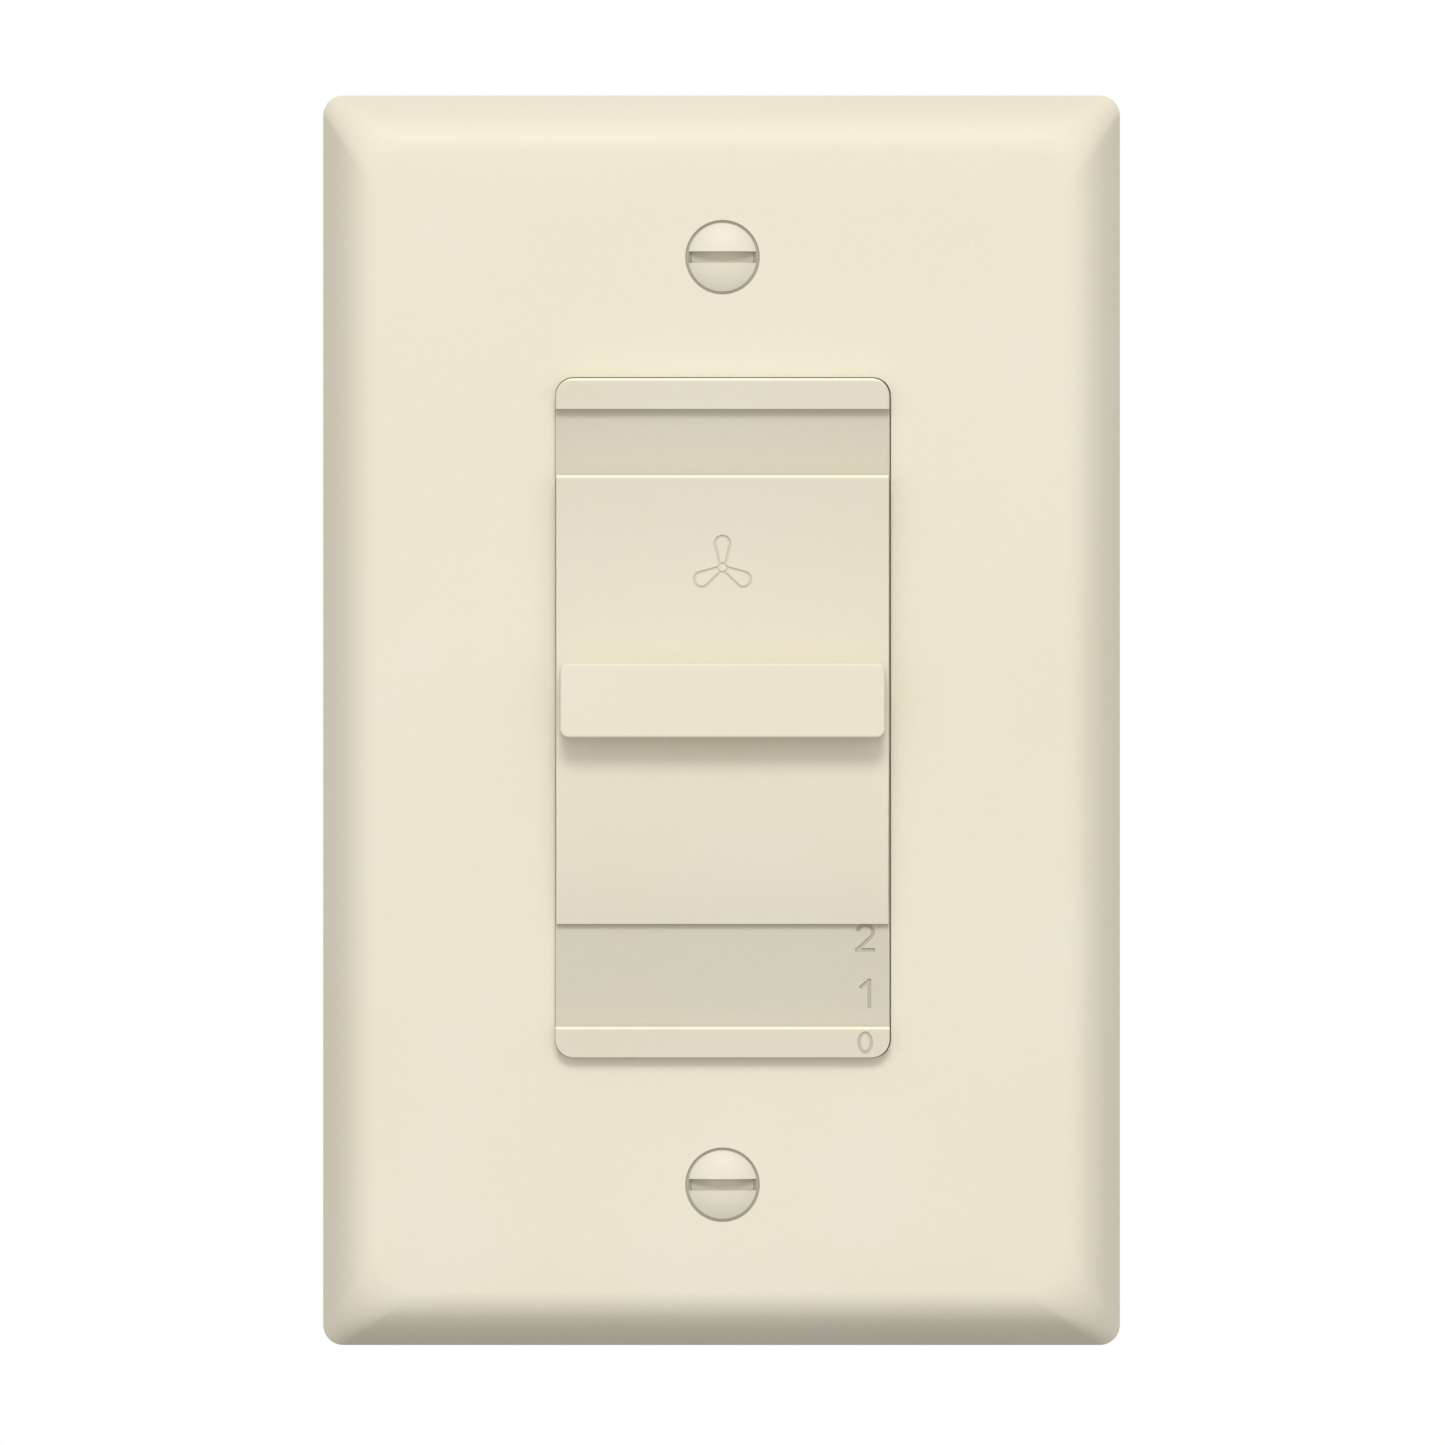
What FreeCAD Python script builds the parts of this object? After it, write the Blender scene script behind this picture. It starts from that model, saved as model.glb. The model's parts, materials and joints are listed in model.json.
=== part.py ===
"""Slide speed control for a ceiling fan, in a decorator frame with its wall plate.

A wide slider covers a channel in the front frame. Two posts carry it on a carriage behind the channel
floor, and the carriage drives the lever of a four-position slide switch on the circuit board. The
switch picks one of two capacitors or a straight-through contact. Everything hangs on a steel strap.

Millimetres. +X is to the right and +Z is up, seen from the room. +Y runs into the wall. The wall
surface is Y = 0, and the origin is midway between the two box screws. The slider stands near speed 2.
"""

import FreeCAD
import Part

import math
import os

V = FreeCAD.Vector
OUT = "parts"

# Wall plate
PLATE_W, PLATE_H, PLATE_FACE = 83.4, 130.8, -6.6
PLATE_CORNER = 2.1
PLATE_RIM = 5.95            # width of the rounded rim
RIM_SLOPE = 57.0            # lean of the rim, in degrees, where it leaves the straight side wall
PLATE_CROWN = 6.0           # gently sloping band inside the rim
PLATE_CROWN_DROP = 0.16
RIM_BANDS = 18
PLATE_SKIN = 2.2
PLATE_SHIFT = (-0.1, 0.07)  # the plate hangs a little off centre on its screws
FACE_RISE = 0.33            # the frame's face stands this much above the middle of the strap
OPENING_W, OPENING_H, OPENING_R = 35.01, 70.98, 1.9
OPENING_SHIFT = (0.05, FACE_RISE + 0.035)
OPENING_RIM = 0.05

# Interfaces of the strap
BOX_SCREW_PITCH = 83.3
PLATE_SCREW_PITCH = 96.8
SCREW_R = 1.73              # 6-32 machine screw
NECK_R = 1.42               # unthreaded neck under a box screw's head
RETAINER_T = 0.4
HEAD_R, RECESS_R = 3.58, 3.88
HEAD_SINK = 0.3             # a plate screw's rim lies this far under the plate's face
CONE = math.tan(math.radians(41.0))

# Front frame
FRAME_W, FRAME_H, FRAME_R = 34.85, 70.85, 1.9
LIP_H = 3.22
LIP_INNER, LIP_LEAN = -8.1, 0.25        # a lip's edge beside the channel; each face leans back downwards
FLOOR_FRONT, FLOOR_REAR = -7.1, -5.5
FRAME_WALL = 1.6
WINDOW_HALF = FRAME_H / 2 - LIP_H

# Slider
SLIDER_W, SLIDER_H = 34.65, 46.8
SLIDER_BACK = -7.2
SLIDER_FACE = -8.6          # depth of the face at the grip
SLIDER_BEND = 0.9           # the face comes forward by this above the grip, and falls back below it
SLIDER_FLAT = 4.0           # half height of the flat stretch the grip stands on
GRIP_W, GRIP_H, GRIP_R, GRIP_FACE = 33.87, 7.78, 0.9, -12.25
GRIP_DROP = 0.12
TRAVEL_HALF = 8.78
REST_Z = 1.9                # the slider's centre in the stored pose
SPEED_STEP = 2 * TRAVEL_HALF / 3
POST_X, POST_R = 9.0, 1.6

# Carriage behind the channel floor
CARRIAGE_FRONT, CARRIAGE_REAR = -5.4, -3.7
CARRIAGE_W, CARRIAGE_H = 24.1, 14.0
CARRIAGE_SCREW_R = 0.95
SCREW_TIP = -7.5            # front end of the screws that hold the carriage on the slider's posts

# Strap
STRAP_T = 1.3
STRAP_W, STRAP_MID_H = 44.0, 71.0
NECK_W, STRAP_H = 25.0, 105.0
EAR_W, EAR_H = 40.0, 8.5
BOSS_X, BOSS_Z, BOSS_R = 12.8, 27.6, 2.7
TAB_Z, TAB_H, TAB_X, TAB_DEPTH = -40.0, 7.4, -16.5, 9.4

# Switch
COVER_T, COVER_W, COVER_H = 0.6, 13.0, 32.0
SWITCH_EAR_Z, SWITCH_EAR_W = 21.5, 8.0
BASE_FRONT, BASE_REAR = 4.8, 6.4
LEVER_W, LEVER_H, LEVER_TIP = 4.0, 3.0, -2.2
BLOCK_W, BLOCK_H, BLOCK_FRONT, BLOCK_REAR = 10.4, 7.6, 0.7, 4.2
BALL_R = 1.2
CONTACT_X = 2.6

# Board and what it carries
BOARD_FRONT, BOARD_T = 6.4, 1.6
BOARD_REAR = BOARD_FRONT + BOARD_T
BOARD_STEP_Z = -8.4         # the board is narrower below this, beside the terminals
PART_FRONT = 9.2            # components stand off the board
CAP_W, CAP_H, CAP_D = 15.4, 32.0, 13.4
CAP_Z = 6.5

# Housing
HOUSING_W, HOUSING_H, HOUSING_D = 43.5, 67.2, 25.0
HOUSING_WALL, HOUSING_R = 1.7, 3.0
TOWER_R, TOWER_FRONT, TOWER_SEAT = 4.0, 4.6, 8.0
TERMINAL_Z, TERMINAL_Y = -16.0, 10.4
POCKET_FLOOR, POCKET_WALL, POCKET_FRONT = 17.5, 1.2, 4.0
POCKET_H = 12.0

# Numerals and fan mark
ENGRAVING = 0.16
STROKE = 0.38
DIGIT_X, DIGIT_H, DIGIT_W = 14.88, 3.02, 2.06
ZERO_H, ZERO_W = 2.36, 1.61
SCALE_TOP_GAP = 0.89        # a numeral's top below the slider's edge at its own speed
FAN_OFFSET_Z = 13.75
FAN_REACH, FAN_TIP_R, FAN_ROOT_R, FAN_HUB_R, FAN_STROKE = 2.5, 0.93, 0.38, 0.55, 0.285


# ---------------------------------------------------------------- shapes

def block(x, y, z):
    """A box from three (low, high) pairs."""
    return Part.makeBox(x[1] - x[0], y[1] - y[0], z[1] - z[0], V(x[0], y[0], z[0]))


def rod(radius, start, end):
    """A cylinder between two points."""
    a, b = V(*start), V(*end)
    return Part.makeCylinder(radius, (b - a).Length, a, b - a)


def rounded_wire(width, height, radius, y, centre=(0.0, 0.0)):
    """A rounded rectangle in the plane at depth y, centred on (x, z)."""
    cx, cz = centre
    a, b, k = width / 2, height / 2, radius * (1 - math.sqrt(0.5))
    edges = []
    corners = [(1, 1), (-1, 1), (-1, -1), (1, -1)]
    for i, (sx, sz) in enumerate(corners):
        p = V(cx + sx * a, y, cz + sz * (b - radius))
        q = V(cx + sx * (a - radius), y, cz + sz * b)
        middle = V(cx + sx * (a - k), y, cz + sz * (b - k))
        first, last = (p, q) if sx * sz > 0 else (q, p)
        edges.append(Part.Arc(first, middle, last).toShape())
        nx, nz = corners[(i + 1) % 4]
        if nx == sx:
            following = V(cx + nx * a, y, cz + nz * (b - radius))
        else:
            following = V(cx + nx * (a - radius), y, cz + nz * b)
        edges.append(Part.LineSegment(last, following).toShape())
    return Part.Wire(edges)


def slab(width, height, radius, y0, y1, centre=(0.0, 0.0)):
    """A rounded rectangle extruded from depth y0 to y1."""
    return Part.Face(rounded_wire(width, height, radius, y0, centre)).extrude(V(0, y1 - y0, 0))


def prism_x(points, x0, x1):
    """A polygon of (y, z) points extruded along X."""
    loop = [V(x0, y, z) for y, z in points]
    return Part.Face(Part.makePolygon(loop + loop[:1])).extrude(V(x1 - x0, 0, 0))


def union(solids):
    """One solid from overlapping ones, with the seams between coplanar faces taken out."""
    return solids[0].multiFuse(solids[1:]).removeSplitter()


def rounded(solid, radius, chosen):
    """Rounds the edges for which chosen(bounding box of the edge) is true."""
    edges = [e for e in solid.Edges if chosen(e.BoundBox)]
    return solid.makeFillet(radius, edges)


def at_depth(y, margin=1e-3):
    return lambda b: abs(b.YMin - y) < margin and abs(b.YMax - y) < margin


def mirrored(solid):
    """The same solid on the other side of X = 0."""
    return solid.mirror(V(0, 0, 0), V(1, 0, 0))


def save(name, *solids):
    """Writes one sub-part as closed solids in parts/name.step."""
    parts = [s for shape in solids for s in shape.Solids]
    shape = parts[0] if len(parts) == 1 else Part.makeCompound(parts)
    for s in parts:
        if not s.isValid() or s.Volume <= 0:
            raise RuntimeError(name + " has a solid that is not closed")
    shape.exportStep(os.path.join(OUT, name + ".step"))
    print(f"{name}: {len(parts)} solid(s), {sum(s.Volume for s in parts):.1f} mm3")


# ---------------------------------------------------------------- engraved marks

def bar(start, end, width, y0, y1):
    """A straight stroke with square ends between two (x, z) points."""
    (ax, az), (bx, bz) = start, end
    length = math.hypot(bx - ax, bz - az)
    nx, nz = -(bz - az) / length * width / 2, (bx - ax) / length * width / 2
    corners = [(ax + nx, az + nz), (bx + nx, bz + nz), (bx - nx, bz - nz), (ax - nx, az - nz)]
    loop = [V(x, y0, z) for x, z in corners]
    return Part.Face(Part.makePolygon(loop + loop[:1])).extrude(V(0, y1 - y0, 0))


def bow(centre, radius, start_deg, end_deg, width, y0, y1):
    """A curved stroke with square ends, about an (x, z) centre, angles from +X towards +Z."""
    cx, cz = centre

    def point(r, degrees):
        a = math.radians(degrees)
        return V(cx + r * math.cos(a), y0, cz + r * math.sin(a))

    outer, inner, middle = radius + width / 2, radius - width / 2, (start_deg + end_deg) / 2
    edges = [
        Part.Arc(point(outer, start_deg), point(outer, middle), point(outer, end_deg)).toShape(),
        Part.LineSegment(point(outer, end_deg), point(inner, end_deg)).toShape(),
        Part.Arc(point(inner, end_deg), point(inner, middle), point(inner, start_deg)).toShape(),
        Part.LineSegment(point(inner, start_deg), point(outer, start_deg)).toShape(),
    ]
    return Part.Face(Part.Wire(edges)).extrude(V(0, y1 - y0, 0))


def oval(centre, half_w, half_h, y0, y1):
    """An upright elliptical cylinder."""
    cx, cz = centre
    ellipse = Part.Ellipse(V(cx, y0, cz + half_h), V(cx + half_w, y0, cz), V(cx, y0, cz))
    return Part.Face(Part.Wire([ellipse.toShape()])).extrude(V(0, y1 - y0, 0))


def numeral_zero(centre, y0, y1):
    outer = oval(centre, ZERO_W / 2, ZERO_H / 2, y0, y1)
    return outer.cut(oval(centre, ZERO_W / 2 - STROKE * 0.9, ZERO_H / 2 - STROKE * 0.9, y0, y1))


def numeral_one(centre, y0, y1):
    cx, cz = centre
    stem_x, top = cx + 0.44, cz + DIGIT_H / 2
    stem = bar((stem_x, cz - DIGIT_H / 2), (stem_x, top), STROKE, y0, y1)
    flag = bar((stem_x - 0.98, top - 0.95), (stem_x, top - 0.16), STROKE * 0.94, y0, y1)
    keep = block((cx - DIGIT_W, stem_x + STROKE / 2), (y0, y1), (cz - DIGIT_H, top))
    return union([stem, flag]).common(keep)


def numeral_two(centre, y0, y1):
    cx, cz = centre
    foot = cz - DIGIT_H / 2
    r = DIGIT_W / 2 - STROKE / 2 - 0.05
    bowl = (cx + 0.02, cz + DIGIT_H / 2 - STROKE / 2 - r)
    leave = math.radians(-38)
    elbow = (bowl[0] + r * math.cos(leave), bowl[1] + r * math.sin(leave))
    return union([
        bow(bowl, r, -40, 172, STROKE, y0, y1),
        bar(elbow, (cx - DIGIT_W / 2 + 0.24, foot + STROKE * 0.62), STROKE, y0, y1),
        bar((cx - DIGIT_W / 2, foot + STROKE / 2), (cx + DIGIT_W / 2, foot + STROKE / 2),
            STROKE, y0, y1),
    ])


def numeral_three(centre, y0, y1):
    cx, cz = centre
    upper_r, lower_r = 0.55, 0.66
    upper = (cx, cz + DIGIT_H / 2 - STROKE / 2 - upper_r)
    lower = (cx, cz - DIGIT_H / 2 + STROKE / 2 + lower_r)
    return union([
        bow(upper, upper_r, -90, 165, STROKE, y0, y1),
        bow(lower, lower_r, -168, 90, STROKE, y0, y1),
        bar((cx - 0.3, (upper[1] - upper_r + lower[1] + lower_r) / 2),
            (cx + 0.1, (upper[1] - upper_r + lower[1] + lower_r) / 2), STROKE * 0.9, y0, y1),
    ])


def drop(reach, tip_r, root_at, root_r, turn, y0, y1):
    """A blade: the outline that wraps a large circle at the tip and a small one at the root."""
    span = reach - root_at
    lean = math.asin((tip_r - root_r) / span)

    def place(along, across):
        c, s = math.cos(turn), math.sin(turn)
        return V(-s * along + c * across, y0, c * along + s * across)

    def on(circle, radius, angle):
        return place(circle + radius * math.sin(angle), radius * math.cos(angle))

    edges = [
        Part.Arc(on(reach, tip_r, -lean), on(reach, tip_r, math.pi / 2),
                 on(reach, tip_r, math.pi + lean)).toShape(),
        Part.LineSegment(on(reach, tip_r, math.pi + lean),
                         on(root_at, root_r, math.pi + lean)).toShape(),
        Part.Arc(on(root_at, root_r, math.pi + lean), on(root_at, root_r, 3 * math.pi / 2),
                 on(root_at, root_r, -lean)).toShape(),
        Part.LineSegment(on(root_at, root_r, -lean), on(reach, tip_r, -lean)).toShape(),
    ]
    return Part.Face(Part.Wire(edges)).extrude(V(0, y1 - y0, 0))


def fan_mark(centre_z, y0, y1):
    """Three outlined blades round an outlined hub."""
    outlines, insides = [], []
    for i in range(3):
        turn = i * 2 * math.pi / 3
        outlines.append(drop(FAN_REACH, FAN_TIP_R, 0.35, FAN_ROOT_R, turn, y0, y1))
        insides.append(drop(FAN_REACH, FAN_TIP_R - FAN_STROKE, 0.35 + FAN_STROKE,
                            FAN_ROOT_R - FAN_STROKE * 0.6, turn, y0, y1))
    hub = rod(FAN_HUB_R, (0, y0, 0), (0, y1, 0))
    hub_inside = rod(FAN_HUB_R - FAN_STROKE * 0.6, (0, y0, 0), (0, y1, 0))
    blades = union(outlines)
    for inside in insides:
        blades = blades.cut(inside)
    mark = blades.cut(hub).fuse(hub).cut(hub_inside).removeSplitter()
    mark.translate(V(0, 0, centre_z))
    return mark


# ---------------------------------------------------------------- wall plate

def rim_sections():
    """(inset from the outline, depth) pairs up the rounded rim and over the crowned band."""
    step = PLATE_RIM / RIM_BANDS
    rises = [0.0]
    for i in range(RIM_BANDS):
        lean = RIM_SLOPE * math.cos(math.pi / 2 * (i + 0.5) / RIM_BANDS)
        rises.append(rises[-1] + step * math.tan(math.radians(lean)))
    full = PLATE_FACE + PLATE_CROWN_DROP
    pairs = [(i * step, full + rises[-1] - rise) for i, rise in enumerate(rises)]
    for share in (0.25, 0.5, 0.75, 1.0):
        depth = full - PLATE_CROWN_DROP * (1 - (1 - share) ** 2)
        pairs.append((PLATE_RIM + PLATE_CROWN * share, depth))
    return pairs


def wall_plate():
    centre = PLATE_SHIFT
    wires = []
    sections = rim_sections()
    for inset, y in sections:
        wires.append(rounded_wire(PLATE_W - 2 * inset, PLATE_H - 2 * inset,
                                  PLATE_CORNER + 0.5 * inset, y, centre))
    skin = Part.makeLoft(wires, True, True)
    side = slab(PLATE_W, PLATE_H, PLATE_CORNER, sections[0][1], 0.0, centre)
    body = union([skin, side])
    hollow = slab(PLATE_W - 3.8, PLATE_H - 3.8, 4.0, 0.0, PLATE_FACE + PLATE_SKIN, centre)
    hollow = rounded(hollow, 2.8, at_depth(PLATE_FACE + PLATE_SKIN))
    body = body.cut(hollow)
    body = body.fuse(plate_ribs(centre))
    opening = slab(OPENING_W, OPENING_H, OPENING_R, PLATE_FACE - 1, 0.0, OPENING_SHIFT)
    body = body.cut(opening)
    for sign in (1, -1):
        body = body.cut(countersink(sign * PLATE_SCREW_PITCH / 2))
    half_w, half_h = OPENING_W / 2 + 0.2, OPENING_H / 2 + 0.2

    def opening_rim(b):
        inside = abs(b.XMin) < half_w and abs(b.XMax) < half_w and b.ZMax < half_h + FACE_RISE
        return inside and b.YMax < PLATE_FACE + 0.01 and b.ZMin > -half_h

    return rounded(body.removeSplitter(), OPENING_RIM, opening_rim)


def plate_ribs(centre):
    """Collar round the opening, bosses for the screws, and stiffening ribs on the back."""
    root, edge = PLATE_FACE + PLATE_SKIN - 0.2, 2.7
    collar = slab(OPENING_W + 3.0, OPENING_H + 3.0, OPENING_R + 1.5, root, -2.4, OPENING_SHIFT)
    parts = [collar]
    cx, cz = centre
    for sign in (1, -1):
        z = sign * PLATE_SCREW_PITCH / 2
        parts.append(rod(4.7, (0, root, z), (0, -3.7, z)))
        parts.append(block((cx - 0.6, cx + 0.6), (root, -2.9), sorted((z, cz + sign * (PLATE_H / 2 - edge)))))
        for side in (1, -1):
            reach = sorted((cx + side * 18.5, cx + side * (PLATE_W / 2 - edge)))
            parts.append(block(reach, (root, -2.9), (cz + sign * 20 - 0.6, cz + sign * 20 + 0.6)))
            parts.append(block(reach, (root, -3.3), (cz + sign * 38 - 0.6, cz + sign * 38 + 0.6)))
    return union(parts)


def countersink(z):
    """A shallow round recess with the conical seat of a screw's head in its floor."""
    hole_r, floor = SCREW_R + 0.22, PLATE_FACE + HEAD_SINK + 0.05
    deep = (HEAD_R - hole_r) / CONE
    recess = rod(RECESS_R, (0, PLATE_FACE - 1, z), (0, floor, z))
    cone = Part.makeCone(HEAD_R, hole_r, deep, V(0, floor, z), V(0, 1, 0))
    return union([recess, cone, rod(hole_r, (0, floor, z), (0, 0, z))])


def plate_screw(z):
    """Oval-head slotted 6-32 screw, its rim sunk under the face of the plate."""
    rim, dome, deep = PLATE_FACE + HEAD_SINK, 1.0, (HEAD_R - SCREW_R) / CONE
    ball_r = (HEAD_R ** 2 + dome ** 2) / (2 * dome)
    cap = Part.makeSphere(ball_r, V(0, rim - dome + ball_r, z))
    cap = cap.common(rod(HEAD_R, (0, rim - dome - 1, z), (0, rim, z)))
    cone = Part.makeCone(HEAD_R, SCREW_R, deep, V(0, rim, z), V(0, 1, 0))
    shank = rod(SCREW_R, (0, rim + deep, z), (0, 5.2, z))
    tip = Part.makeCone(SCREW_R, SCREW_R - 0.5, 0.5, V(0, 5.2, z), V(0, 1, 0))
    slot = block((-5, 5), (rim - dome - 1, rim + 0.4), (z - 0.6, z + 0.6))
    return union([cap, cone, shank, tip]).cut(slot)


# ---------------------------------------------------------------- front frame

def lip(sign):
    """The raised end of the frame, its face leaning back towards its lower edge."""
    inner, outer = FACE_RISE + sign * WINDOW_HALF, FACE_RISE + sign * FRAME_H / 2
    return prism_x([(FLOOR_REAR, inner), (LIP_INNER, inner), (LIP_INNER - sign * LIP_LEAN, outer),
                    (FLOOR_REAR, outer)], -FRAME_W / 2, FRAME_W / 2)


def front_frame():
    middle = (0, FACE_RISE)
    shell = slab(FRAME_W, FRAME_H, FRAME_R, LIP_INNER - LIP_LEAN, -STRAP_T, middle)
    trimmed = union([lip(1), lip(-1),
                     block((-FRAME_W / 2, FRAME_W / 2), (FLOOR_FRONT, -STRAP_T),
                           (FACE_RISE - FRAME_H / 2, FACE_RISE + FRAME_H / 2))])
    body = shell.common(trimmed)
    body = rounded(body.removeSplitter(), 0.3, upper_edges)
    body = body.cut(slab(FRAME_W - 2 * FRAME_WALL, FRAME_H - 2 * FRAME_WALL, 0.8,
                         FLOOR_REAR, -STRAP_T, middle))
    additions = []
    for sx in (1, -1):
        rib = sorted((sx * (CARRIAGE_W / 2 + 0.15), sx * (CARRIAGE_W / 2 + 1.35)))
        additions.append(block(rib, (FLOOR_REAR - 0.2, -1.7), (-17.5, 17.5)))
        for sz in (1, -1):
            x, z = sx * BOSS_X, sz * BOSS_Z
            additions.append(rod(BOSS_R, (x, FLOOR_REAR - 0.2, z), (x, TOWER_FRONT - 0.05, z)))
    body = body.multiFuse(additions).removeSplitter()
    for sx in (1, -1):
        slot_h = 2 * (TRAVEL_HALF + POST_R + 0.15)
        body = body.cut(slab(2 * POST_R + 0.3, slot_h, POST_R + 0.149,
                             FLOOR_FRONT - 1, FLOOR_REAR + 1, (sx * POST_X, 0)))
        for sz in (1, -1):
            x, z = sx * BOSS_X, sz * BOSS_Z
            body = body.cut(rod(1.3, (x, -3.2, z), (x, TOWER_FRONT, z)))
    for mark in frame_marks():
        body = body.cut(mark)
    return body


def upper_edges(b):
    """The top edge of each lip's face."""
    tops = (FACE_RISE + FRAME_H / 2, FACE_RISE - WINDOW_HALF)
    level = b.ZLength < 0.01 and b.YMax < FLOOR_FRONT - 0.3
    return level and min(abs(b.ZMin - top) for top in tops) < 0.01


def frame_marks():
    """The engraved scale: 0 on the lower lip, and 1 to 3 up the channel floor."""
    marks = []
    step_top = FACE_RISE - WINDOW_HALF
    for speed, numeral in ((1, numeral_one), (2, numeral_two), (3, numeral_three)):
        top = step_top + speed * SPEED_STEP - SCALE_TOP_GAP
        marks.append(numeral((DIGIT_X, top - DIGIT_H / 2), FLOOR_FRONT - 0.5,
                             FLOOR_FRONT + ENGRAVING))
    drop = LIP_H / 2 + 0.07
    lean = LIP_LEAN / LIP_H
    zero_z, face = step_top - drop, LIP_INNER + lean * drop
    zero = numeral_zero((DIGIT_X, zero_z), face - 0.5, face + ENGRAVING)
    zero.rotate(V(0, face, zero_z), V(1, 0, 0), math.degrees(math.atan(lean)))
    marks.append(zero)
    return marks


# ---------------------------------------------------------------- slider and carriage

def face_depth(z):
    """Depth of the slider's face at a height above its centre: scooped above the grip, rounded below."""
    reach = SLIDER_H / 2 - SLIDER_FLAT
    radius = (reach ** 2 + SLIDER_BEND ** 2) / (2 * SLIDER_BEND)
    past = max(abs(z) - SLIDER_FLAT, 0.0)
    bend = radius - math.sqrt(radius ** 2 - past ** 2)
    return SLIDER_FACE - math.copysign(bend, z)


def slider_body():
    half, middle = SLIDER_H / 2, (SLIDER_H / 2 + SLIDER_FLAT) / 2

    def on_face(z):
        return V(0, face_depth(z), z)

    profile = Part.Wire([
        Part.LineSegment(V(0, SLIDER_BACK, half), V(0, SLIDER_BACK, -half)).toShape(),
        Part.LineSegment(V(0, SLIDER_BACK, -half), on_face(-half)).toShape(),
        Part.Arc(on_face(-half), on_face(-middle), on_face(-SLIDER_FLAT)).toShape(),
        Part.LineSegment(on_face(-SLIDER_FLAT), on_face(SLIDER_FLAT)).toShape(),
        Part.Arc(on_face(SLIDER_FLAT), on_face(middle), on_face(half)).toShape(),
        Part.LineSegment(on_face(half), V(0, SLIDER_BACK, half)).toShape(),
    ])
    body = Part.Face(profile).extrude(V(SLIDER_W, 0, 0))
    body.translate(V(-SLIDER_W / 2, 0, 0))
    body = rounded(body, 0.3, lambda b: b.ZMin > half - 0.01 and b.YMax < SLIDER_BACK - 0.4)
    return rounded(body, 0.08, lambda b: b.XLength < 0.01 and b.ZLength > 2 and b.YMax < SLIDER_BACK - 0.3)


def slider():
    grip = slab(GRIP_W, GRIP_H, GRIP_R, GRIP_FACE, SLIDER_FACE + 0.4, (0, -GRIP_DROP))
    grip = rounded(grip, 0.3, at_depth(GRIP_FACE))
    body = union([slider_body(), grip])
    face = face_depth(FAN_OFFSET_Z)
    slope = (face_depth(FAN_OFFSET_Z + 1) - face_depth(FAN_OFFSET_Z - 1)) / 2
    mark = fan_mark(FAN_OFFSET_Z, face - 0.6, face + ENGRAVING)
    mark.rotate(V(0, face, FAN_OFFSET_Z), V(1, 0, 0), -math.degrees(math.atan(slope)))
    body = body.cut(mark)
    body.translate(V(0, 0, FACE_RISE))
    for sx in (1, -1):
        x = sx * POST_X
        body = body.fuse(rod(POST_R, (x, SLIDER_BACK - 0.5, 0), (x, CARRIAGE_REAR - 0.06, 0)))
        body = body.cut(rod(CARRIAGE_SCREW_R + 0.05, (x, SCREW_TIP - 0.2, 0), (x, CARRIAGE_REAR, 0)))
    body = body.removeSplitter()
    body.translate(V(0, 0, REST_Z))
    return body


def carriage():
    """Runner behind the channel floor, with the socket that carries the switch lever."""
    body = slab(CARRIAGE_W, CARRIAGE_H, 1.5, CARRIAGE_FRONT, CARRIAGE_REAR)
    body = body.cut(slab(10.0, CARRIAGE_H - 3.0, 1.0, CARRIAGE_FRONT, CARRIAGE_FRONT + 0.6))
    socket = slab(LEVER_W + 2.8, LEVER_H + 3.0, 0.8, CARRIAGE_REAR - 0.2, -0.1)
    body = union([body, socket])
    body = body.cut(block((-LEVER_W / 2 - 0.1, LEVER_W / 2 + 0.1), (LEVER_TIP - 0.1, 0),
                          (-LEVER_H / 2 - 0.1, LEVER_H / 2 + 0.1)))
    for sx in (1, -1):
        x = sx * POST_X
        body = body.cut(rod(POST_R + 0.04, (x, CARRIAGE_FRONT - 1, 0), (x, 0, 0)))
    body.translate(V(0, 0, REST_Z))
    return body


def carriage_screw(x):
    head = rod(2.3, (x, CARRIAGE_REAR, REST_Z), (x, CARRIAGE_REAR + 0.9, REST_Z))
    head = rounded(head, 0.3, at_depth(CARRIAGE_REAR + 0.9))
    shank = rod(CARRIAGE_SCREW_R, (x, SCREW_TIP, REST_Z), (x, CARRIAGE_REAR, REST_Z))
    body = union([head, shank])
    for angle in (0, 90):
        cross = block((x - 1.1, x + 1.1), (CARRIAGE_REAR + 0.35, 0), (REST_Z - 0.22, REST_Z + 0.22))
        cross.rotate(V(x, 0, REST_Z), V(0, 1, 0), angle)
        body = body.cut(cross)
    return body


# ---------------------------------------------------------------- strap and its screws

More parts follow.
